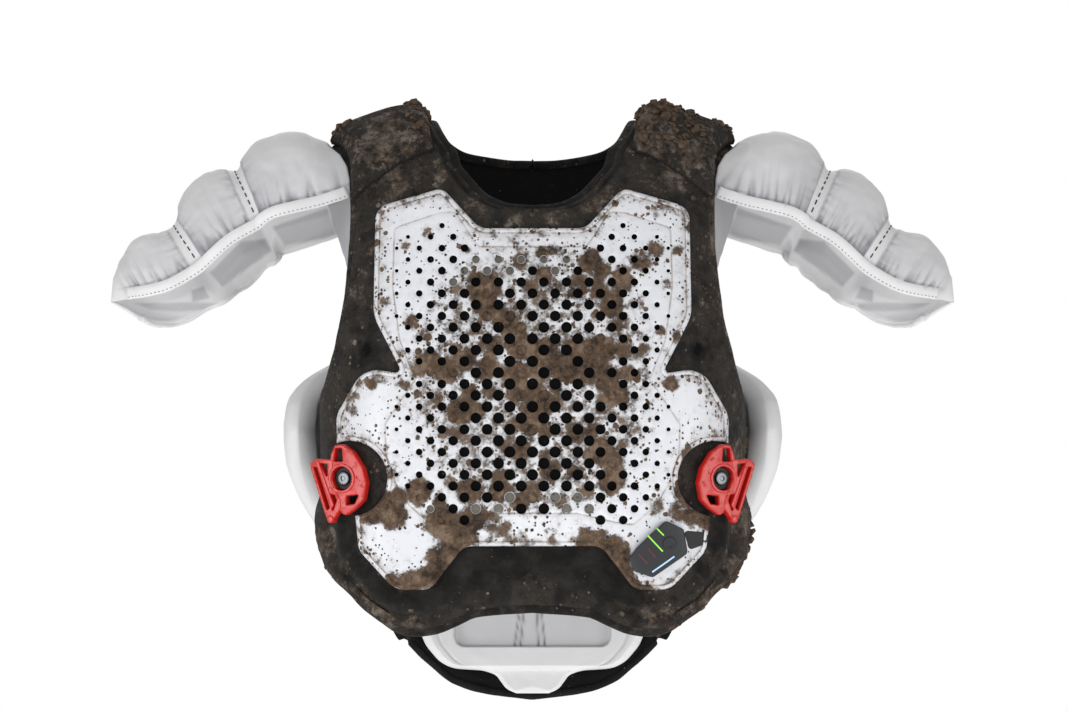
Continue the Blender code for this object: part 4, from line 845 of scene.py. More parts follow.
# Mud on the plate: place in the view, radius and amount of each patch
plateMud = [
    (485, 288, 17, 1), (487, 308, 13, 1), (478, 279, 9, .9), (520, 262, 9, .75), (545, 275, 10, .7),
    (530, 286, 11, .6), (540, 300, 10, .6), (590, 262, 12, 1), (602, 272, 9, .9), (640, 262, 11, .7),
    (655, 250, 8, .8), (620, 280, 13, .8), (600, 290, 12, .8), (577, 286, 13, .8), (556, 286, 9, .6),
    (612, 305, 13, .9), (620, 322, 10, .8), (505, 321, 13, .9), (514, 333, 12, 1), (540, 330, 10, .6),
    (490, 345, 12, .8), (520, 346, 14, 1), (546, 351, 14, 1), (575, 350, 14, 1), (600, 350, 15, 1),
    (625, 350, 10, .8), (642, 350, 7, .6), (430, 362, 13, 1), (446, 370, 13, 1), (420, 370, 9, .8),
    (465, 360, 13, .9), (490, 368, 11, .9), (515, 372, 13, 1), (540, 366, 14, 1), (565, 368, 15, 1),
    (590, 368, 16, 1), (606, 376, 13, 1), (626, 372, 9, .8), (470, 395, 9, 1), (490, 392, 9, .7),
    (515, 393, 9, 1), (535, 396, 14, 1), (555, 385, 7, .7), (615, 392, 13, 1), (600, 400, 7, .6),
    (460, 411, 13, 1), (476, 412, 9, 1), (535, 416, 15, 1), (546, 402, 11, 1), (590, 420, 9, .6),
    (600, 410, 7, .6), (455, 430, 9, .7), (470, 441, 9, .6), (512, 425, 9, .8), (530, 425, 11, .9),
    (545, 432, 9, .8), (575, 432, 11, .9), (590, 430, 9, .8), (505, 445, 9, .7), (520, 450, 11, .9),
    (545, 455, 9, .6), (600, 450, 13, 1), (611, 460, 11, .9), (590, 455, 9, .7), (500, 475, 9, .8),
    (550, 470, 11, .9), (575, 470, 9, .8), (610, 480, 13, 1), (620, 470, 7, .7), (470, 490, 13, 1),
    (450, 480, 7, .6), (500, 490, 11, 1), (530, 490, 11, .9), (520, 500, 11, .8), (420, 490, 13, 1),
    (400, 495, 9, .9), (440, 500, 8, .7), (385, 505, 15, 1), (375, 495, 11, 1), (395, 515, 13, 1),
    (370, 514, 9, 1), (440, 520, 16, .85), (460, 530, 18, 1), (475, 516, 14, .85), (455, 545, 15, 1),
    (442, 560, 15, 1), (430, 575, 12, 1), (410, 581, 11, 1), (395, 578, 8, .8), (490, 520, 11, .7),
    (500, 530, 14, .55), (520, 541, 9, .5), (550, 535, 9, .5), (590, 540, 14, .85), (604, 550, 13, 1),
    (615, 565, 13, 1), (624, 575, 11, 1), (600, 535, 9, .7), (619, 555, 12, 1), (612, 545, 11, 1),
    (630, 586, 11, 1), (645, 590, 8, .8), (675, 510, 9, .7), (690, 515, 9, .9), (688, 495, 11, 1),
    (701, 505, 9, 1), (706, 520, 9, 1), (655, 505, 9, .6), (690, 455, 9, .8), (685, 470, 7, .7),
    (681, 490, 8, .9), (719, 508, 10, 1), (335, 431, 7, .6), (331, 450, 9, .9), (350, 395, 7, .6),
    (355, 411, 6, .6), (345, 385, 5, .5), (372, 383, 6, .85), (405, 383, 6, .85), (385, 301, 5, .7),
    (412, 322, 7, .7), (425, 335, 5, .5), (405, 245, 5, .7), (428, 233, 6, .6), (465, 250, 5, .5),
    (540, 254, 7, .75), (551, 250, 5, .6), (690, 228, 5, .7), (655, 211, 7, .5), (670, 383, 7, 1),
    (660, 330, 5, .7), (676, 335, 5, .7), (666, 285, 5, .6), (676, 250, 5, .7), (640, 300, 5, .5),
    (560, 500, 8, .6), (585, 492, 8, .7), (480, 372, 9, .8), (360, 470, 14, .6), (705, 470, 12, .5),
    (390, 470, 8, .5), (560, 400, 6, .5), (500, 408, 6, .5), (530, 352, 9, 1),
]


def holeDiameter(x, z):
    out = x / (plate["halfWidth"] * 0.72)
    up = (z - (plate["top"] - plate["height"] * 0.56)) / (plate["height"] * 0.47)
    fromMiddle = min(1.15, math.hypot(1.2 * abs(out) ** 2.5, 0.8 * abs(up) ** 3))
    return plate["largest"] + (plate["smallest"] - plate["largest"]) * fromMiddle


def makePlate():
    half = [(o * plate["halfWidth"], plate["top"] - d * plate["height"]) for o, d in plate["zone"]]
    zone = half + [(-x, z) for x, z in reversed(half[1:-1])]
    picker = random.Random(7)
    holes = []
    for row in range(plate["rows"]):
        for column in range(-18, 19):
            x, z = column * plate["pitch"], plate["top"] - plate["firstRow"] - row * plate["pitch"]
            if (row + column) % 2 == 0 and insideLoop([(x, z)], zone)[0]:
                muddy = patchLevel(np.array([[x, 0, z]]), plateMud)[0]
                state = "open"
                if (column, row) in plate["greyHoles"]:
                    state = "grey"
                elif muddy > 0.8 and picker.random() < 0.42:
                    state = "mud"
                holes.append((x, z, holeDiameter(x, z) / 2, state))
    outer = plateEdge
    loops = [outer] + [insetLoop(outer, d) for d in (0.0008, 0.0019, 0.0030, 0.0041, 0.0050)]
    points, edges = [], []

    def addLoop(loop):
        first = len(points)
        points.extend(Vector(p) for p in loop)
        edges.extend((first + i, first + (i + 1) % len(loop)) for i in range(len(loop)))

    for loop in loops:
        addLoop(loop)
    lineHalf = fillRuns(roundCorners([(plate["line"][0], 0)] + [(p, 0.006) for p in plate["line"][1:-1]]
                                     + [(plate["line"][-1], 0)], 0.003), 0.003)
    line = lineHalf + [Vector((-p.x, p.y)) for p in reversed(lineHalf[1:-1])]
    for inset in (-0.0011, 0.0, 0.0011):
        addLoop(insetLoop(line, inset))
    for x, z, radius, state in holes:
        rings = [radius + plate["lip"], radius + 0.0003, radius]
        if state != "open":
            rings.append(radius - 0.0006)
        for r in rings:
            addLoop(circle(r, plate["holeSides"], (x, z)))
        if state != "open":
            points.append(Vector((x, z)))
    centres = np.array([(x, z) for x, z, _, _ in holes])
    radii = np.array([h[2] for h in holes])
    grid = 0.0042
    cells = [(i * grid + (j % 2) * grid / 2, plate["top"] - j * grid * 0.87)
             for j in range(100) for i in range(-42, 43)]
    cells = np.array(cells)
    cells = cells[insideLoop(cells, [tuple(p) for p in loops[-1]])]
    cells = cells[segmentGap(cells, loops[-1]) > 0.0024]
    cells = cells[segmentGap(cells, line) > 0.0030]
    gaps = np.linalg.norm(cells[:, None] - centres[None], axis=2) - radii[None]
    cells = cells[gaps.min(1) > 0.0025]
    points.extend(Vector(p) for p in cells)
    flat, _, faces, *_ = delaunay_2d_cdt(points, edges, [], 0, 1e-7)
    place = np.array([tuple(p) for p in flat])
    middles = np.array([place[list(f)].mean(0) for f in faces])
    keep = insideLoop(middles, [tuple(p) for p in outer])
    opened = np.array([h[3] == "open" for h in holes])
    gaps = np.linalg.norm(middles[:, None] - centres[None][:, opened], axis=2) - radii[opened][None]
    keep &= gaps.min(1) > -0.0001
    faces = [f for f, k in zip(faces, keep) if k]
    used = sorted({i for f in faces for i in f})
    renumber = {i: n for n, i in enumerate(used)}
    place = place[used]
    faces = [tuple(renumber[i] for i in f) for f in faces]
    edgeGap = segmentGap(place, outer)
    lineGap = segmentGap(place, line)
    toHole = np.linalg.norm(place[:, None] - centres[None], axis=2)
    nearest = (toHole - radii[None]).argmin(1)
    depth = toHole[np.arange(len(place)), nearest] - radii[nearest]
    state = np.array([h[3] for h in holes])[nearest]
    rise = np.interp(edgeGap, [0, .0008, .0019, .0030, .0041, .0050, .0062],
                     [-.0012, .0004, .0012, .0010, -.0003, 0, .0002])
    rise -= 0.0005 * np.exp(-(lineGap / 0.0006) ** 2)
    inLip = 1 - np.clip(depth, 0, plate["lip"]) / plate["lip"]
    rise -= np.where(depth < plate["lip"], inLip ** 1.5 * 0.0009, 0)
    filled = np.where(state == "mud", 0.0013, 0.0019)
    rise = np.where((depth < -0.0003) & (state != "open"), rise - filled, rise)
    spots = np.stack([place[:, 0], place[:, 0] * 0, place[:, 1]], 1)
    level = patchLevel(spots, plateMud)
    worn = np.hypot(place[:, 0] / 0.118, (place[:, 1] + 0.214) / 0.135)
    level = np.maximum(level, 0.40 * (1 - smoothStep(0.75, 1.1, worn)))
    level = np.maximum(level, 0.28 * (1 - smoothStep(0.004, 0.020, edgeGap)))
    level = np.where((depth < 0.0001) & (state == "grey"), 0.1, level)
    level = np.where((depth < 0.0001) & (state == "mud"), 1.0, level)
    crust = np.maximum(0, noiseAt(spots, 5.5, 11, 4) + 0.25)
    rise = rise + crust * smoothStep(0.55, 0.95, level) * 0.0011
    top = chestPoint(place[:, 0], place[:, 1], plate["standoff"] + plate["thickness"] + rise)
    base = chestPoint(place[:, 0], place[:, 1], plate["standoff"] + 0.0002)
    count = len(place)
    solid = [tuple(f) for f in faces] + [tuple(count + i for i in reversed(f)) for f in faces]
    sides = {(a, b) for f in faces for a, b in zip(f, f[1:] + f[:1])}
    solid += [(b, a, count + a, count + b) for a, b in sides if (b, a) not in sides]
    both = np.concatenate([top, base])
    obj = addMesh("chestPlateShell", both, solid, finishes["plate"])
    groove = np.exp(-((edgeGap - 0.0042) / 0.0007) ** 2) + 0.8 * np.exp(-(lineGap / 0.0006) ** 2)
    floor = np.where((depth < -0.0003) & (state == "grey"), 1.0, 0.0)
    under = np.zeros(count)
    keepValues(obj, both, mud=np.concatenate([level, under]), groove=np.concatenate([groove, under]),
               floor=np.concatenate([floor, under]))
    obj.data.set_sharp_from_angle(angle=math.radians(50))
    print("plate has", len(holes), "holes and", len(obj.data.polygons), "faces")
    return obj


chestPlate = makePlate()
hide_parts("chest_plate")
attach(chestPlate, "root")

# Levers at the waist: seen square on, out from the chest's centre and up, in shares of the reach
lever = {
    "reach": 0.037, "lift": 0.0068, "thickness": 0.008, "hole": 0.0104, "turn": 30.0,
    "body": [(0, .80), (.20, .78), (.30, .56), (.36, .30), (.30, -.10), (.18, -.44), (.10, -.70), (0, -.82),
             (-.10, -.86), (-.36, -.70), (-.58, -.50), (-.66, -.10), (-.56, .26), (-.30, .62)],
    "windows": [[(.18, .70), (.01, .71), (-.02, .40), (.22, .40)], [(-.12, -.41), (-.45, -.38),
                (-.34, -.59), (-.12, -.62)]],
    "wing": [(.22, .44), (.70, .46), (.86, .35), (.83, .20), (.42, -.92), (.32, -1.0), (.22, -.96),
             (.02, -.70), (.02, -.50), (.26, -.02)],
    "wingWindows": [[(.60, .36), (.39, .33), (.39, .00)], [(.77, .27), (.68, .26), (.33, -.68), (.40, -.75)],
                    [(.31, -.36), (.10, -.42), (.25, -.80)]],
}


def flatPart(name, outline, holes, low, high, bevel):
    curve = bpy.data.curves.new(name, "CURVE")
    curve.dimensions = "2D"
    curve.fill_mode = "BOTH"
    curve.extrude = (high - low) / 2 - bevel
    curve.bevel_depth = bevel
    curve.bevel_resolution = 3
    curve.offset = -bevel
    for loop in [outline] + holes:
        spline = curve.splines.new("POLY")
        spline.points.add(len(loop) - 1)
        spline.use_cyclic_u = True
        for spot, p in zip(spline.points, loop):
            spot.co = (p[0], p[1], 0, 1)
    holder = bpy.data.objects.new(name + "Curve", curve)
    bpy.context.collection.objects.link(holder)
    mesh = bpy.data.meshes.new_from_object(holder.evaluated_get(bpy.context.evaluated_depsgraph_get()))
    points = np.empty(len(mesh.vertices) * 3, np.float32)
    mesh.vertices.foreach_get("co", points)
    points = points.reshape(-1, 3).astype(float) + np.array([0, 0, (low + high) / 2])
    faces = [tuple(p.vertices) for p in mesh.polygons]
    bpy.data.objects.remove(holder)
    bpy.data.meshes.remove(mesh)
    bpy.data.curves.remove(curve)
    return points, faces


def roundedLoop(corners, radius, spacing=0.0012):
    run = roundCorners([(tuple(p), radius) for p in corners + corners[:2]], spacing)[1:-1]
    return [tuple(p) for p in run]


def leverPlaces(side):
    hub = chestPoint(np.array([side * plate["hub"][0]]), np.array([plate["hub"][1]]), 0.0)[0]
    t = math.radians(lever["turn"])
    axis = np.array([side * math.sin(t), -math.cos(t), 0])
    out = np.array([side * math.cos(t), math.sin(t), 0])
    return hub, out, np.array([0, 0, 1.0]), axis


def toLever(points, side):
    hub, out, up, axis = leverPlaces(side)
    return hub + points[:, :1] * out + points[:, 1:2] * up + points[:, 2:] * axis


def latheFaces(levels, sides):
    points, faces = [], []
    for radius, rise in levels:
        points += [(x, y, rise) for x, y in circle(radius, sides)]
    for r in range(len(levels) - 1):
        for k in range(sides):
            m = (k + 1) % sides
            faces.append((r * sides + k, r * sides + m, (r + 1) * sides + m, (r + 1) * sides + k))
    faces += [tuple(reversed(range(sides))), tuple((len(levels) - 1) * sides + k for k in range(sides))]
    return np.array(points), faces


def joinParts(parts):
    points, faces = [], []
    for p, f in parts:
        first = sum(len(q) for q in points)
        points.append(p)
        faces += [tuple(i + first for i in face) for face in f]
    return np.concatenate(points), faces


def makeLever(word, side):
    reach, low, high = lever["reach"], lever["lift"], lever["lift"] + lever["thickness"]

    def scaled(loop):
        return [(x * reach, y * reach) for x, y in loop]

    body = flatPart("leverBody", roundedLoop(scaled(lever["body"]), 0.0022),
                    [circle(lever["hole"], 40)] + [roundedLoop(scaled(w), 0.0009) for w in lever["windows"]],
                    low, high - 0.0004, 0.0011)
    wing = flatPart("leverWing", roundedLoop(scaled(lever["wing"]), 0.0018),
                    [roundedLoop(scaled(w), 0.0007) for w in lever["wingWindows"]],
                    low + 0.0008, high, 0.0009)
    collar = flatPart("leverCollar", circle(lever["hole"] + 0.0026, 40), [circle(lever["hole"], 40)],
                      high - 0.0030, high + 0.0006, 0.0006)
    knob = flatPart("leverKnob", circle(0.0034, 20, (0.30 * reach, -0.95 * reach)), [],
                    low + 0.0004, high + 0.0009, 0.0012)
    ribCorners = [(.70, .40), (.62, .42), (.20, -.62), (.26, -.72)]
    rib = flatPart("leverRib", roundedLoop(scaled(ribCorners), 0.0006), [],
                   low + 0.001, high + 0.0009, 0.0006)
    points, faces = joinParts([body, wing, collar, knob, rib])
    obj = addMesh("leverMoulding" + word.title(), toLever(points, side), faces, finishes["lever"])
    obj.data.set_sharp_from_angle(angle=math.radians(40))
    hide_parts("lever_" + word)
    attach(obj, "lever_" + word)
    top = lever["lift"] - 0.0004
    seatRings = [(0.0165, -0.0045), (0.0165, top - 0.0010), (0.0158, top - 0.0002), (0.0120, top),
                 (0.0100, top), (0.0100, top + 0.0026), (0.0094, top + 0.0035), (0.0066, top + 0.0035),
                 (0.0062, top + 0.0028), (0.0030, top + 0.0026)]
    parts = [latheFaces(seatRings, 48)]
    ribCount = 22  # round the rim, as on a moulded grip ring
    for k in range(ribCount):
        t = 2 * math.pi * k / ribCount
        box, boxFaces = latheFaces([(0.0010, -0.002), (0.0010, top - 0.0012), (0.0006, top - 0.0004)], 6)
        parts.append((box + np.array([0.0164 * math.cos(t), 0.0164 * math.sin(t), 0]), boxFaces))
    points, faces = joinParts(parts)
    base = addMesh("leverSeat" + word.title(), toLever(points, side), faces, finishes["base"])
    base.data.set_sharp_from_angle(angle=math.radians(35))
    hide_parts("lever_base_" + word)
    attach(base, "root")
    seat = top + 0.0035
    boltRings = [(0.0057, seat - 0.0006), (0.0057, seat + 0.0010), (0.0053, seat + 0.0019),
                 (0.0040, seat + 0.0022), (0.0027, seat + 0.0022), (0.0025, seat + 0.0008),
                 (0.0004, seat + 0.0005)]
    points, faces = latheFaces(boltRings, 36)
    head = addMesh("leverBolt" + word.title(), toLever(points, side), faces, finishes["bolt"])
    head.data.set_sharp_from_angle(angle=math.radians(30))
    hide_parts("lever_bolt_" + word)
    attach(head, "root")


for word, side in (("left", -1), ("right", 1)):
    makeLever(word, side)
print("levers made")

# Status display on the plate's lower right corner, in photo places
display = {
    "outline": [(665, 519), (683, 528), (687, 552), (652, 576), (634, 570), (628, 557), (636, 546),
                (655, 528)],
    "bars": [("green_light_upper", "green", (656, 527), (663, 534), 1.2),
             ("green_light_lower", "green", (647, 534), (662, 550), 1.3),
             ("blue_light_bar", "blue", (651.5, 570.5), (673.5, 555), 1.3),
             (None, "dim", (647, 546), (655, 556), 1.7), (None, "dim", (638, 552), (647, 562.5), 1.7)],
    "button": (669, 542), "buttonRadius": 0.0058,
    "channel": [(682, 529), (704, 531), (709, 537), (704, 543), (688, 549), (686, 540)],
    "seat": 0.0050, "rise": 0.0055,
}


def onChest(points, seat):
    return chestPoint(points[:, 0], points[:, 1], points[:, 2] + seat)


def refineFlat(points, faces, spacing):
    bm = bmesh.new()
    verts = [bm.verts.new(p) for p in points]
    for f in faces:
        if len(set(f)) == len(f):
            try:
                bm.faces.new([verts[i] for i in f])
            except ValueError:
                continue
    bmesh.ops.remove_doubles(bm, verts=bm.verts, dist=0.00001)
    bmesh.ops.triangulate(bm, faces=bm.faces)
    for _ in range(3):
        long = [e for e in bm.edges if e.calc_length() > spacing]
        if not long:
            break
        bmesh.ops.subdivide_edges(bm, edges=long, cuts=1)
        bmesh.ops.triangulate(bm, faces=bm.faces)
    bm.verts.index_update()
    points = np.array([tuple(v.co) for v in bm.verts])
    faces = [tuple(v.index for v in f.verts) for f in bm.faces]
    bm.free()
    return points, faces


def makeDisplay():
    outline = roundedLoop([fromPhoto(*p) for p in display["outline"]], 0.0045, 0.0010)
    body = refineFlat(*flatPart("displayBody", outline, [], 0, display["rise"], 0.0013), 0.007)
    obj = addMesh("displayBody", onChest(body[0], display["seat"]), body[1], finishes["display"])
    obj.data.set_sharp_from_angle(angle=math.radians(40))
    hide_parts("display_housing")
    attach(obj, "root")
    for number, (node, kind, start, end, width) in enumerate(display["bars"]):
        a, b = Vector(fromPhoto(*start)), Vector(fromPhoto(*end))
        run = (b - a).normalized()
        wide = Vector((-run.y, run.x)) * width / 2000
        loop = [tuple(p) for p in fillRuns([a - wide, b - wide, b + wide, a + wide, a - wide], 0.004)[:-1]]
        bar = flatPart("lightBar", loop, [], display["rise"] - 0.0012, display["rise"] + 0.0005, 0.0003)
        light = addMesh("lightBar%d" % number, onChest(bar[0], display["seat"]), bar[1], finishes[kind])
        if node:
            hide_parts(node)
        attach(light, "root")
    middle = fromPhoto(*display["button"])
    rings = [(1.0, -0.001), (1.0, 0.0006), (0.9, 0.0011), (0.75, 0.0012), (0.62, 0.0006), (0.3, 0.0004),
             (0.02, 0.0004)]
    points, faces = latheFaces([(r * display["buttonRadius"], display["rise"] + h) for r, h in rings], 32)
    points = points + np.array([middle[0], middle[1], 0])
    key = addMesh("displayButton", onChest(points, display["seat"]), faces, finishes["button"])
    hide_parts("display_button")
    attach(key, "root")
    channel = roundedLoop([fromPhoto(*p) for p in display["channel"]], 0.003, 0.001)
    trough = refineFlat(*flatPart("displayChannel", channel, [], 0, 0.0018, 0.0005), 0.007)
    part = addMesh("displayChannel", onChest(trough[0], 0.0030), trough[1], finishes["base"])
    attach(part, "root")


makeDisplay()
print("display made")

# Sleeve airbags: each section's ridge and front hem, out and down, as shares of the reach and drop, its
# fore and aft shares of the depth, how far it wraps behind the arm in degrees, and its share of the wall
sleeve = {
    "reach": 0.189, "drop": 0.150, "depth": 0.064, "wall": 0.022, "hem": 0.007, "gap": 0.0008,
    "sections": [
        (.02, .060, -.080, .373, .80, .88, 123, .60), (.074, .040, .011, .427, .86, .94, 119, .80),
        (.175, .012, .143, .467, .94, 1.0, 117, 1.0), (.310, .060, .243, .500, .95, 1.0, 118, .95),
        (.400, .158, .286, .533, .93, .98, 123, .75), (.430, .215, .307, .560, .89, .94, 127, .50),
        (.487, .208, .354, .593, .91, .95, 122, .80), (.599, .290, .429, .647, .92, .95, 124, 1.0),
        (.686, .415, .508, .733, .87, .91, 127, .80), (.718, .535, .571, .807, .80, .84, 135, .50),
        (.767, .568, .635, .860, .77, .81, 128, .75), (.862, .616, .741, .927, .72, .75, 125, .85),
        (.948, .742, .857, .960, .59, .61, 138, .60), (.990, .850, .931, .973, .40, .41, 154, .42)],
    "tip": (1.0, .987), "channels": [5.0, 9.0], "perSection": 13, "columns": 112,
    "windows": [[(272, 226), (327, 207), (337, 236), (284, 244)],
                [(209, 272), (240, 241), (265, 238), (271, 250), (250, 265), (222, 286)],
                [(191, 290), (203, 286), (209, 297), (192, 302)]],
    "lens": [(135, 303), (180, 302), (230, 303), (215, 308), (180, 311), (150, 309)],
}


def makeSleeve(word, side):
    table = np.array(sleeve["sections"])
    last = len(table) - 1
    s = np.linspace(0, last, last * sleeve["perSection"] + 1)
    index = np.arange(len(table))
    measures = [readCurve(index, table[:, k], s) for k in range(8)]
    ridgeOut, ridgeDown, hemOut, hemDown, fore, aft, wrap, wall = measures
    close = np.array([0.25, 0.5, 0.72, 0.88, 0.97, 1.0])
    tipOut, tipDown = sleeve["tip"]
    bend = np.sqrt(1 - close**2)

    def closing(values, end):
        return np.concatenate([values, end + (values[-1] - end) * bend])

    ridgeOut, ridgeDown = closing(ridgeOut, tipOut), closing(ridgeDown, tipDown)
    hemOut, hemDown = closing(hemOut, tipOut), closing(hemDown, tipDown)
    fore, aft, wall = closing(fore, 0.0), closing(aft, 0.0), closing(wall, 0.10)
    wrap = np.concatenate([wrap, np.full(len(close), wrap[-1])])
    s = np.concatenate([s, last + close * 0.6])
    share = np.linspace(0, 1, sleeve["columns"])
    ridge = np.stack([vest["shoulderTip"] + ridgeOut * sleeve["reach"], s * 0, -ridgeDown * sleeve["drop"]], 1)
    hem = np.stack([vest["shoulderTip"] + hemOut * sleeve["reach"], s * 0, -hemDown * sleeve["drop"]], 1)
    angle = -90 + (90 + wrap[:, None]) * share[None, :]
    bendAngle = np.radians(np.abs(angle))
    rise = ridge - hem
    length = np.maximum(np.linalg.norm(rise, axis=1), 1e-6)[:, None]
    depth = sleeve["depth"] * np.where(angle < 0, fore[:, None], aft[:, None])

    def arched(thick):
        up = ((length - thick) / length * np.cos(bendAngle))[..., None] * rise[:, None]
        across = np.sign(angle) * np.maximum(depth - thick, 0) * np.sin(bendAngle)
        return hem[:, None] + up + np.stack([across * 0, across, across * 0], -1)

    outer = arched(0.0)
    steps = np.cumsum(np.linalg.norm(np.diff(outer, axis=1), axis=2), 1)
    fromHem = np.concatenate([np.zeros((len(s), 1)), steps], 1)
    toHem = fromHem[:, -1:] - fromHem
    alongHem = np.concatenate([[0], np.cumsum(np.linalg.norm(np.diff(outer[:, 30], axis=0), axis=1))])
    # shadow: a painted shadow on the shoulder side of each channel
    channel, shadow = np.full(len(s), 1.0), np.zeros(len(s))
    for at in sleeve["channels"]:
        past = alongHem - np.interp(at, s, alongHem)
        channel = np.minimum(channel, np.abs(past))
        shadow = np.maximum(shadow, np.where(past < 0, np.exp((past + 0.005) / 0.022), 0) * (past < -0.005))
    channel = channel[:, None] + 0 * fromHem
    ends = np.minimum(alongHem, 1.0)[:, None] + 0 * fromHem
    tangentS = np.gradient(outer, axis=0)
    tangentC = np.gradient(outer, axis=1)
    normal = unit(np.cross(tangentS, tangentC) + 1e-12)
    middle = (hem + rise * 0.2)[:, None]
    normal = np.where(((outer - middle) * normal).sum(-1, keepdims=True) < 0, -normal, normal)
    fadeTip = smoothStep(last + 0.6, last - 1.2, s)[:, None]
    band = smoothStep(0.0045, 0.0085, channel)  # flat stitched channel, then the chamber swells
    puff = 0.0036 * (smoothStep(0.006, 0.030, channel) - 0.40) * smoothStep(0.0, 0.030, fromHem) * fadeTip
    waveHem, waveChannel, folds = (np.zeros(fromHem.shape) for _ in range(3))
    for i in range(len(s)):
        for j in range(sleeve["columns"]):
            a, h = alongHem[i] * 1000, fromHem[i, j] * 1000
            waveHem[i, j] = noise.noise(Vector((a / 7.5, h / 70.0, 3.0 + side)))
            waveChannel[i, j] = noise.noise(Vector((h / 8.0, a / 50.0, 9.0 + side)))
            folds[i, j] = noise.fractal(Vector((a / 30.0, h / 34.0, 5.0 + side)), 0.9, 2.0, 3)
    toEdge = np.minimum(fromHem, toHem)
    near = np.exp(-np.maximum(toEdge - 0.012, 0) / 0.011) * smoothStep(0.004, 0.012, toEdge) * band
    beside = np.exp(-np.maximum(channel - 0.006, 0) / 0.007) * band * smoothStep(0.004, 0.015, fromHem)
    pleat = np.maximum(0, 1 - np.abs(waveHem) / 0.20)
    crease = np.maximum(0, 1 - np.abs(waveChannel) / 0.16)
    ripple = (waveHem * 0.0030 - pleat * 0.0030) * near + (waveChannel * 0.0022 - crease * 0.0016) * beside
    ripple += folds * 0.0020 * band
    swell = (puff + ripple) * fadeTip * smoothStep(0.0, 0.012, ends)
    swell -= 0.0004 * (1 - band) * fadeTip
    # Painted shade on the outer face: darker in the pleats and creases, along the channel edges, at the hem
    # band's top edge, in fold hollows, in the painted shadow beside each channel and towards the hem
    paintedShade = 0.65 * pleat * near + 0.30 * crease * beside + 0.40 * np.exp(-((channel - 0.0068) / 0.0014) ** 2)
    paintedShade += 0.40 * np.exp(-((fromHem - 0.0112) / 0.0012) ** 2) + 0.12 * np.maximum(0, -folds) * band
    paintedShade += 0.80 * shadow[:, None] * np.exp(-fromHem / 0.050) + 0.42 * np.exp(-fromHem / 0.045) * band
    paintedShade = np.clip(paintedShade, 0, 0.9) * fadeTip
    outer = outer + normal * swell[..., None]
    nearHem = smoothStep(0.0, 0.020, toEdge)
    fullest = wall[:, None] * sleeve["wall"]
    thick = np.minimum(sleeve["hem"] + (fullest - sleeve["hem"]) * nearHem, fullest)
    inner = arched(thick)
    armhole = np.array(frontPad["rows"][8::-1])
    edgeHeight = vest["padThickness"] - armhole[:, 3] * vest["height"]
    pull = np.maximum(0, 1 - s)[:, None]
    for skin in (outer, inner):  # the first section leans onto the panel's armhole edge
        edge = np.interp(skin[..., 2], edgeHeight, armhole[:, 2] * vest["halfWidth"])
        skin[..., 0] += (edge + sleeve["gap"] - skin[..., 0]) * pull**2
    # Painted shade: the recessed windows on the rear inner face, and the lens below them, are painted grey
    seen = np.stack(toPhoto(-inner[..., 0], inner[..., 2]), -1).reshape(-1, 2)
    shade = np.zeros(len(seen))
    behind = (angle > 85).ravel()
    for loop, deep in [(w, 0.50) for w in sleeve["windows"]] + [(sleeve["lens"], 0.45)]:
        away = segmentGap(seen, loop) * np.where(insideLoop(seen, loop), 1, -1)
        shade = np.maximum(shade, deep * smoothStep(-1.6, 1.6, np.where(behind, away, -9)))
    inner[..., 1] += shade.reshape(inner.shape[:2]) * 0.0010
    flip = np.array([side, 1, 1])
    obj, points = addShell("sleeveAirbag" + word.title(), outer * flip, inner * flip, finishes["airbag"])
    keepValues(obj, points, shade=np.concatenate([paintedShade.ravel(), shade]))
    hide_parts("sleeve_airbag_" + word)
    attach(obj, "root")
    stop = len(s) - len(close) - 2
    hemLine, hemNext, hemNormal = outer[:stop, 0], outer[:stop, 4], normal[:stop, 0]
    hemNormal = np.tile([0, -1.0, 0], (stop, 1)) * 0.8 + hemNormal * 0.2
    tape = [(-10.0, 0.3), (-9.7, 1.0), (-5, 1.25), (-1.5, 1.2), (0.2, 0.2), (0.6, -1.6), (0.2, -3.6),
            (-1.5, -4.6), (-5.0, -4.6), (-5.0, -3.4)]
    path, nextTo, up = evenPath(hemLine * flip, hemNext * flip, hemNormal * flip, step=0.003)
    outward, up = pathFrames(path, nextTo, up)
    cloth, slot = finishes["airbag"], "airbag_fabric"
    frontTape = sweepBand("sleeveHem" + word.title(), path, outward, up, tape, cloth)
    rearLine, rearNext = outer[:stop, -1] * flip, outer[:stop, -6] * flip
    rearPath, rearNext, rearUp = evenPath(rearLine, rearNext, normal[:stop, -1] * flip, step=0.003)
    rearOut, rearUp = pathFrames(rearPath, rearNext, rearUp)
    rearTape = sweepBand("sleeveRearHem" + word.title(), rearPath, rearOut, rearUp, tape, cloth)
    stitched = [(path + outward * -0.0016 + up * 0.0012, up)]
    hemThread = addStitches("sleeveHemStitches" + word.title(), stitched, finishes["stitch"],
                            2.1, 1.7, 0.9, 0.35)
    rowsOfThread = []
    for at in sleeve["channels"]:
        i = int(round(at * sleeve["perSection"]))
        run = outer[i, 8:-8] * flip
        upwards = normal[i, 8:-8] * flip
        rowsOfThread.append((run + upwards * 0.0001, upwards))
    channelThread = addStitches("sleeveChannelStitches" + word.title(), rowsOfThread, finishes["darkStitch"],
                                5.2, 2.4, 1.5, 0.5)
    for piece in (frontTape, rearTape, hemThread, channelThread):
        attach(piece, "root")


# A white strap under each armhole, painted light grey as shade: photo place and depth of the sleeve's edge and
# of the vest's edge
gusset = {"sleeveEdge": [(326, 205, .045), (338, 238, .045)],
          "vestEdge": [(351, 192, -.025), (349, 272, -.045)], "thickness": 0.003, "rows": 25}


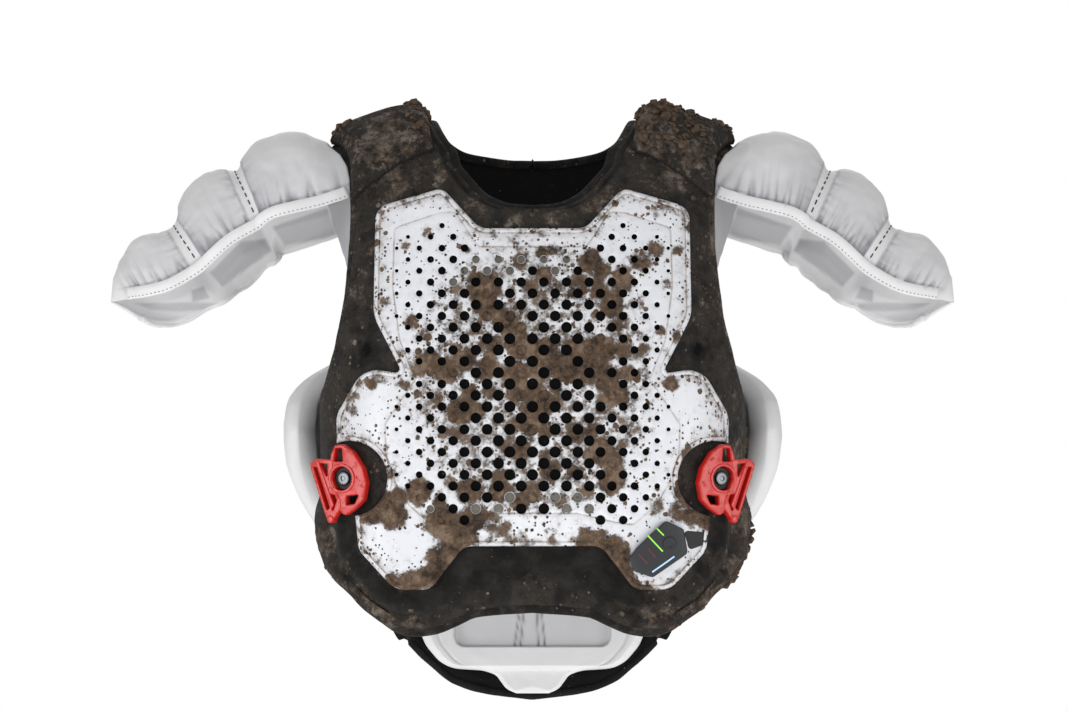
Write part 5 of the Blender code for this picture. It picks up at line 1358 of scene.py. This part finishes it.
def makeGusset(word, side):
    size = gusset["rows"]
    u, v = np.meshgrid(np.linspace(0, 1, size), np.linspace(0, 1, size), indexing="ij")

    def corner(row):
        out, height = fromPhoto(row[0], row[1])
        return np.array([out, row[2], height])

    (a, b), (c, d) = ([corner(row) for row in gusset[key]] for key in ("sleeveEdge", "vestEdge"))
    u, v = u[..., None], v[..., None]
    point = (a * (1 - u) + b * u) * (1 - v) + (c * (1 - u) + d * u) * v
    point[..., 0] += 0.004 * np.sin(np.pi * v[..., 0]) * (1 - u[..., 0])
    normal = np.array([-0.85, -0.5, 0.0])
    outer = point + normal * (0.0006 * noiseAt(point, 18, 41, 2))[..., None]
    inner = point - normal * gusset["thickness"]
    flip = np.array([-side, 1, 1])
    obj, _ = addShell("armholeGusset" + word.title(), outer * flip, inner * flip, finishes["gusset"])
    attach(obj, "root")


for word, side in (("left", -1), ("right", 1)):
    makeSleeve(word, side)
    makeGusset(word, side)
print("sleeve airbags made")

# Back airbag: each row's share of the height and the angle round the back at which it ends
bladder = {
    "rows": [(.330, 42), (.375, 55), (.420, 68), (.460, 80), (.500, 88), (.545, 90), (.595, 89), (.645, 84),
             (.700, 77), (.750, 71), (.800, 62), (.840, 51), (.870, 39.5), (.900, 35.3), (.925, 33),
             (.938, 31), (.954, 28), (.965, 23.5), (.970, 15), (.979, 10.5), (.990, 9), (1.002, 7.3),
             (1.008, 4.6)],
    "splay": [(0, 0), (54, 0), (62, .14), (70, .44), (80, .80), (90, 1.0)],
    "wall": 0.028, "edge": 0.009, "gap": 0.0009, "splayReach": 0.0465, "perRow": 8, "columns": 121,
    "seams": [-.0150, -.0100, .0050, .0105],
}


def bladderMiddle(turn):
    # How far out along the normal the middle of the airbag's wall lies from the panels' outer face
    splay = np.array(bladder["splay"])
    inset = vest["padThickness"] + bladder["gap"] + bladder["wall"] / 2
    return bladder["splayReach"] * readCurve(splay[:, 0], splay[:, 1], turn) - inset


def makeBladder():
    table = np.array(bladder["rows"])
    index = np.arange(len(table))
    r = np.linspace(0, len(table) - 1, (len(table) - 1) * bladder["perRow"] + 1)
    down, end = readCurve(index, table[:, 0], r)[:, None], readCurve(index, table[:, 1], r)[:, None]
    share = np.linspace(-1, 1, bladder["columns"])[None, :]
    side = np.where(share < 0, -1.0, 1.0)
    turn = np.abs(share) * end
    out = vest["halfWidth"] * np.sin(np.radians(turn))
    drop = down * vest["height"] - vest["padThickness"] + shoulderLine(out)
    arch = -np.sqrt(np.maximum(drop / vest["height"], 1e-6))
    point, normal = bodyPoint(turn, arch, 1), bodyNormal(turn, arch, 1)
    middle = bladderMiddle(turn)
    point[..., 0] *= side
    normal[..., 0] *= side
    normal[:, bladder["columns"] // 2, 0] = 0
    normal = unit(normal)
    start, stop, top, bottom = edgeGaps(point, np.ones(len(r), bool))
    gap = np.minimum(np.minimum(start, stop), np.minimum(top, bottom))
    half = bladder["wall"] / 2 * np.sqrt(np.clip(gap / 0.011, 0, 1) * (2 - np.clip(gap / 0.011, 0, 1)))
    half = np.maximum(half, 0.0012)
    frameZone = smoothStep(-0.372, -0.386, point[..., 2])
    half -= 0.0052 * np.exp(-((gap - 0.021) / 0.0030) ** 2) * (1 - frameZone)
    half -= 0.0022 * smoothStep(0.021, 0.034, gap) * smoothStep(0.060, 0.034, gap)
    x, z = point[..., 0], point[..., 2]
    half = half * (1 - frameZone) + np.minimum(half, 0.0105) * frameZone
    piping = np.exp(-((gap - 0.0125) / 0.0016) ** 2) * frameZone * smoothStep(0.055, 0.075, np.abs(x))
    half -= 0.0009 * piping
    corner = np.hypot(np.maximum(np.abs(x) - 0.0635, 0), np.maximum(-z - 0.4430, 0)) - 0.0100
    pane = smoothStep(0.0010, -0.0016, corner) * smoothStep(-0.386, -0.392, z)
    tab = smoothStep(-0.470, -0.474, z)
    half = half * (1 - pane) + 0.0050 * pane
    stitched = np.zeros(x.shape)
    for at in bladder["seams"]:
        stitched = stitched + np.exp(-((x / (1 - 9.0 * (z + 0.446)) - at) / 0.0010) ** 2) * pane
    half -= 0.0026 * stitched
    half = half * (1 - tab) + np.minimum(half, 0.0045 * np.sqrt(np.clip(gap / 0.004, 0.02, 1))) * tab
    folds = noiseAt(point, 34, 21, 3) * 0.0014 * smoothStep(0.024, 0.045, gap)
    ruffle = noiseAt(point * np.array([2.2, 2.2, 0.7]), 16, 22, 3)
    folds += ruffle * 0.0012 * smoothStep(0.004, 0.014, gap) * smoothStep(0.020, 0.012, gap)
    outer = point + normal * (middle + half + folds)[..., None]
    inner = point + normal * (middle - half - folds * 0.5)[..., None]
    obj, points = addShell("backAirbag", outer, inner, finishes["airbag"])
    # Painted shade: the recessed pane is greyer, darker at its edge and along the piping and seam grooves
    level = 0.30 * pane + 0.35 * np.exp(-(corner / 0.0010) ** 2) * smoothStep(-0.386, -0.392, z)
    level += 0.30 * piping + 0.5 * stitched
    keepValues(obj, points, shade=np.tile(level.ravel(), 2))
    return obj


bag = makeBladder()
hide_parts("back_airbag")
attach(bag, "root")
print("back airbag made")

# Stretch cloth at the ribs, between the front panel and the inside of the back airbag
ribs = {"turns": [89.98, 84, 78, 71, 64], "downs": [.480, .540, .600, .650, .700], "gap": 0.0068,
        "thickness": 0.005}


def makeSideCloth(word, side):
    rows, columns = 49, 57
    turn = readCurve(np.arange(5), ribs["turns"], np.linspace(0, 4, columns))[None, :]
    down = readCurve(np.arange(5), ribs["downs"], np.linspace(0, 4, rows))[:, None]
    drop = down * vest["height"] - vest["padThickness"] + shoulderLine(vest["halfWidth"])
    turn, arch = np.broadcast_arrays(turn, -np.sqrt(drop / vest["height"]))
    point, normal = bodyPoint(turn, arch, side), bodyNormal(turn, arch, side)
    depth = np.minimum(bladderMiddle(turn) - bladder["wall"] / 2 - ribs["gap"], -0.0010)
    pleats = 0.0009 * np.sin(point[..., 2] * 2 * math.pi / 0.014 + 2.0 * noiseAt(point, 30, 31, 2))
    outer = point + normal * (depth + np.minimum(0, pleats))[..., None]
    inner = point + normal * (depth - ribs["thickness"])[..., None]
    obj, _ = addShell("sideCloth" + word.title(), outer, inner, finishes["binding"])
    putValue(obj, "mud", np.full(len(obj.data.vertices), 0.15))
    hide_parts("side_panel_" + word)
    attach(obj, "root")


for word, side in (("left", -1), ("right", 1)):
    makeSideCloth(word, side)
print("side cloth made")


def addClots(name, places, seed):
    ico = bmesh.new()
    bmesh.ops.create_icosphere(ico, subdivisions=2, radius=1.0)
    shape = np.array([tuple(v.co) for v in ico.verts])
    shapeFaces = [tuple(v.index for v in f.verts) for f in ico.faces]
    ico.free()
    picker = random.Random(seed)
    points, faces = [], []
    for place, up, radius in places:
        up = unit(np.asarray(up, float))
        side = unit(np.cross(up, [picker.random() - .5, picker.random() - .5, picker.random() - .5]))
        other = np.cross(up, side)
        stretch = 0.7 + picker.random() * 0.9
        local = shape * np.array([stretch, 1.0, 0.55 + picker.random() * 0.3])
        shift = Vector((picker.random() * 50, picker.random() * 50, picker.random() * 50))
        swell = np.array([1 + 0.55 * noise.fractal(Vector(p) * 1.3 + shift, 0.7, 2.0, 3) for p in shape])
        local = local * swell[:, None] * radius
        first = len(points)
        points += list(place + local[:, :1] * side + local[:, 1:2] * other + local[:, 2:] * up)
        faces += [tuple(i + first for i in f) for f in shapeFaces]
    mesh = bpy.data.meshes.new(name)
    mesh.from_pydata([tuple(p) for p in points], [], faces)
    mesh.materials.append(finishes["mud"])
    mesh.shade_smooth()
    obj = bpy.data.objects.new(name, mesh)
    bpy.context.collection.objects.link(obj)
    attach(obj, "root")


# Clots along the vest's edges: range of places in the view, how many and how big
clots = {
    "edge": [((722, 765), (430, 600), 230, 6.0), ((650, 725), (560, 640), 50, 3.0),
             ((318, 350), (480, 600), 80, 3.0), ((340, 450), (580, 640), 34, 2.0),
             ((318, 350), (280, 480), 46, 2.0), ((700, 750), (240, 440), 60, 2.2),
             ((330, 360), (140, 280), 26, 2.0), ((700, 735), (140, 240), 26, 2.4)],
    "yokes": [(1, (628, 690), 90, 4.6), (1, (690, 745), 40, 3.6), (-1, (405, 445), 50, 3.6),
              (-1, (322, 350), 26, 3.4)],
}


def gatherClots():
    picker = random.Random(3)
    path, inner, normal = (np.asarray(a) for a in sidePath(frontEdges))
    path, inner, normal = evenPath(path, inner, normal, step=0.001)
    outward, normal = pathFrames(path, inner, normal)
    seenX, seenY = toPhoto(path[:, 0], path[:, 2])
    places = []
    for (x0, x1), (y0, y1), many, big in clots["edge"]:
        found = np.nonzero((seenX > x0) & (seenX < x1) & (seenY > y0) & (seenY < y1))[0]
        if not len(found):
            continue
        for _ in range(many):
            i = int(found[picker.randrange(len(found))])
            radius = (0.35 + 0.65 * picker.random() ** 1.6) * big / 1000
            lift = (picker.random() * 1.6 - 0.4) * 0.0025
            shift = outward[i] * (lift - 0.0006 + 0.25 * radius) - normal[i] * picker.random() * 0.007
            places.append((path[i] + shift, outward[i] + normal[i] * 0.5, radius))
    for side, (x0, x1), many, big in clots["yokes"]:
        pad = bpy.data.objects["yokePad" + ("Left" if side < 0 else "Right")]
        points = pointsOf(pad)
        normals = np.array([tuple(v.normal) for v in pad.data.vertices])
        seen, _ = toPhoto(points[:, 0], points[:, 2])
        found = np.nonzero((seen > x0) & (seen < x1) & (points[:, 1] < 0.02) & (normals[:, 2] > 0.25)
                           & (points[:, 2] > -0.020))[0]
        for _ in range(many if len(found) else 0):
            i = int(found[picker.randrange(len(found))])
            radius = (0.35 + 0.65 * picker.random() ** 1.8) * big / 1000
            places.append((points[i] + normals[i] * 0.15 * radius, normals[i], radius))
    return places


addClots("driedMudClots", gatherClots(), 5)
print("mud clots made")

# Room, light and camera
room = {"floor": -1.6, "size": 6.0, "floorGlow": 0.40, "worldLight": 0.42,
        "camera": (0.0013, -20.0, -0.195), "lens": 774.5,
        "lights": [("softKey", (-0.9, -1.9, 2.3), 0.7, 9), ("softTop", (0.1, -0.2, 2.2), 1.2, 3),
                   ("sideLeft", (-2.2, -1.5, -0.3), 0.9, 15), ("sideRight", (2.2, -1.5, -0.3), 0.9, 12),
                   ("softLow", (0.0, -2.2, -1.1), 0.8, 9), ("softBack", (0.0, 2.6, 1.2), 1.8, 10)]}


def makeRoom():
    bpy.ops.object.select_all(action="DESELECT")
    bpy.ops.mesh.primitive_plane_add(size=room["size"], location=(0, 0, room["floor"]))
    floor = bpy.context.object
    floor.name = "studioFloor"
    paper, _, shader = newMaterial("paperWhite", "#f7f7f7", 0.9)
    shader.inputs["Emission Color"].default_value = (1, 1, 1, 1)
    shader.inputs["Emission Strength"].default_value = room["floorGlow"]
    floor.data.materials.append(paper)
    world = bpy.data.worlds.new("studioWhite")
    bpy.context.scene.world = world
    world.use_nodes = True
    tree = world.node_tree
    tree.nodes["Background"].inputs["Color"].default_value = (1, 1, 1, 1)
    tree.nodes["Background"].inputs["Strength"].default_value = room["worldLight"]
    seen = addNode(tree, "Background", {"Color": (1, 1, 1, 1), "Strength": 1.0})
    choice = addNode(tree, "MixShader", {0: addNode(tree, "LightPath").outputs["Is Camera Ray"],
                                         1: tree.nodes["Background"].outputs[0], 2: seen.outputs[0]})
    tree.links.new(choice.outputs[0], tree.nodes["World Output"].inputs["Surface"])
    bpy.context.scene.view_settings.view_transform = "Standard"
    for name, place, size, power in room["lights"]:
        light = bpy.data.lights.new(name, "AREA")
        light.shape = "DISK"
        light.size = size
        light.energy = power
        holder = bpy.data.objects.new(name, light)
        bpy.context.collection.objects.link(holder)
        holder.location = place
        holder.visible_camera = False
        holder.rotation_euler = (Vector((0, 0, -0.2)) - Vector(place)).to_track_quat("-Z", "Y").to_euler()
    camera = bpy.data.cameras.new("studioCamera")
    camera.sensor_width = 36
    camera.lens = room["lens"]
    holder = bpy.data.objects.new("studioCamera", camera)
    bpy.context.collection.objects.link(holder)
    holder.location = room["camera"]
    holder.rotation_euler = (math.radians(90), 0, 0)
    bpy.context.scene.camera = holder


makeRoom()
print("room made")
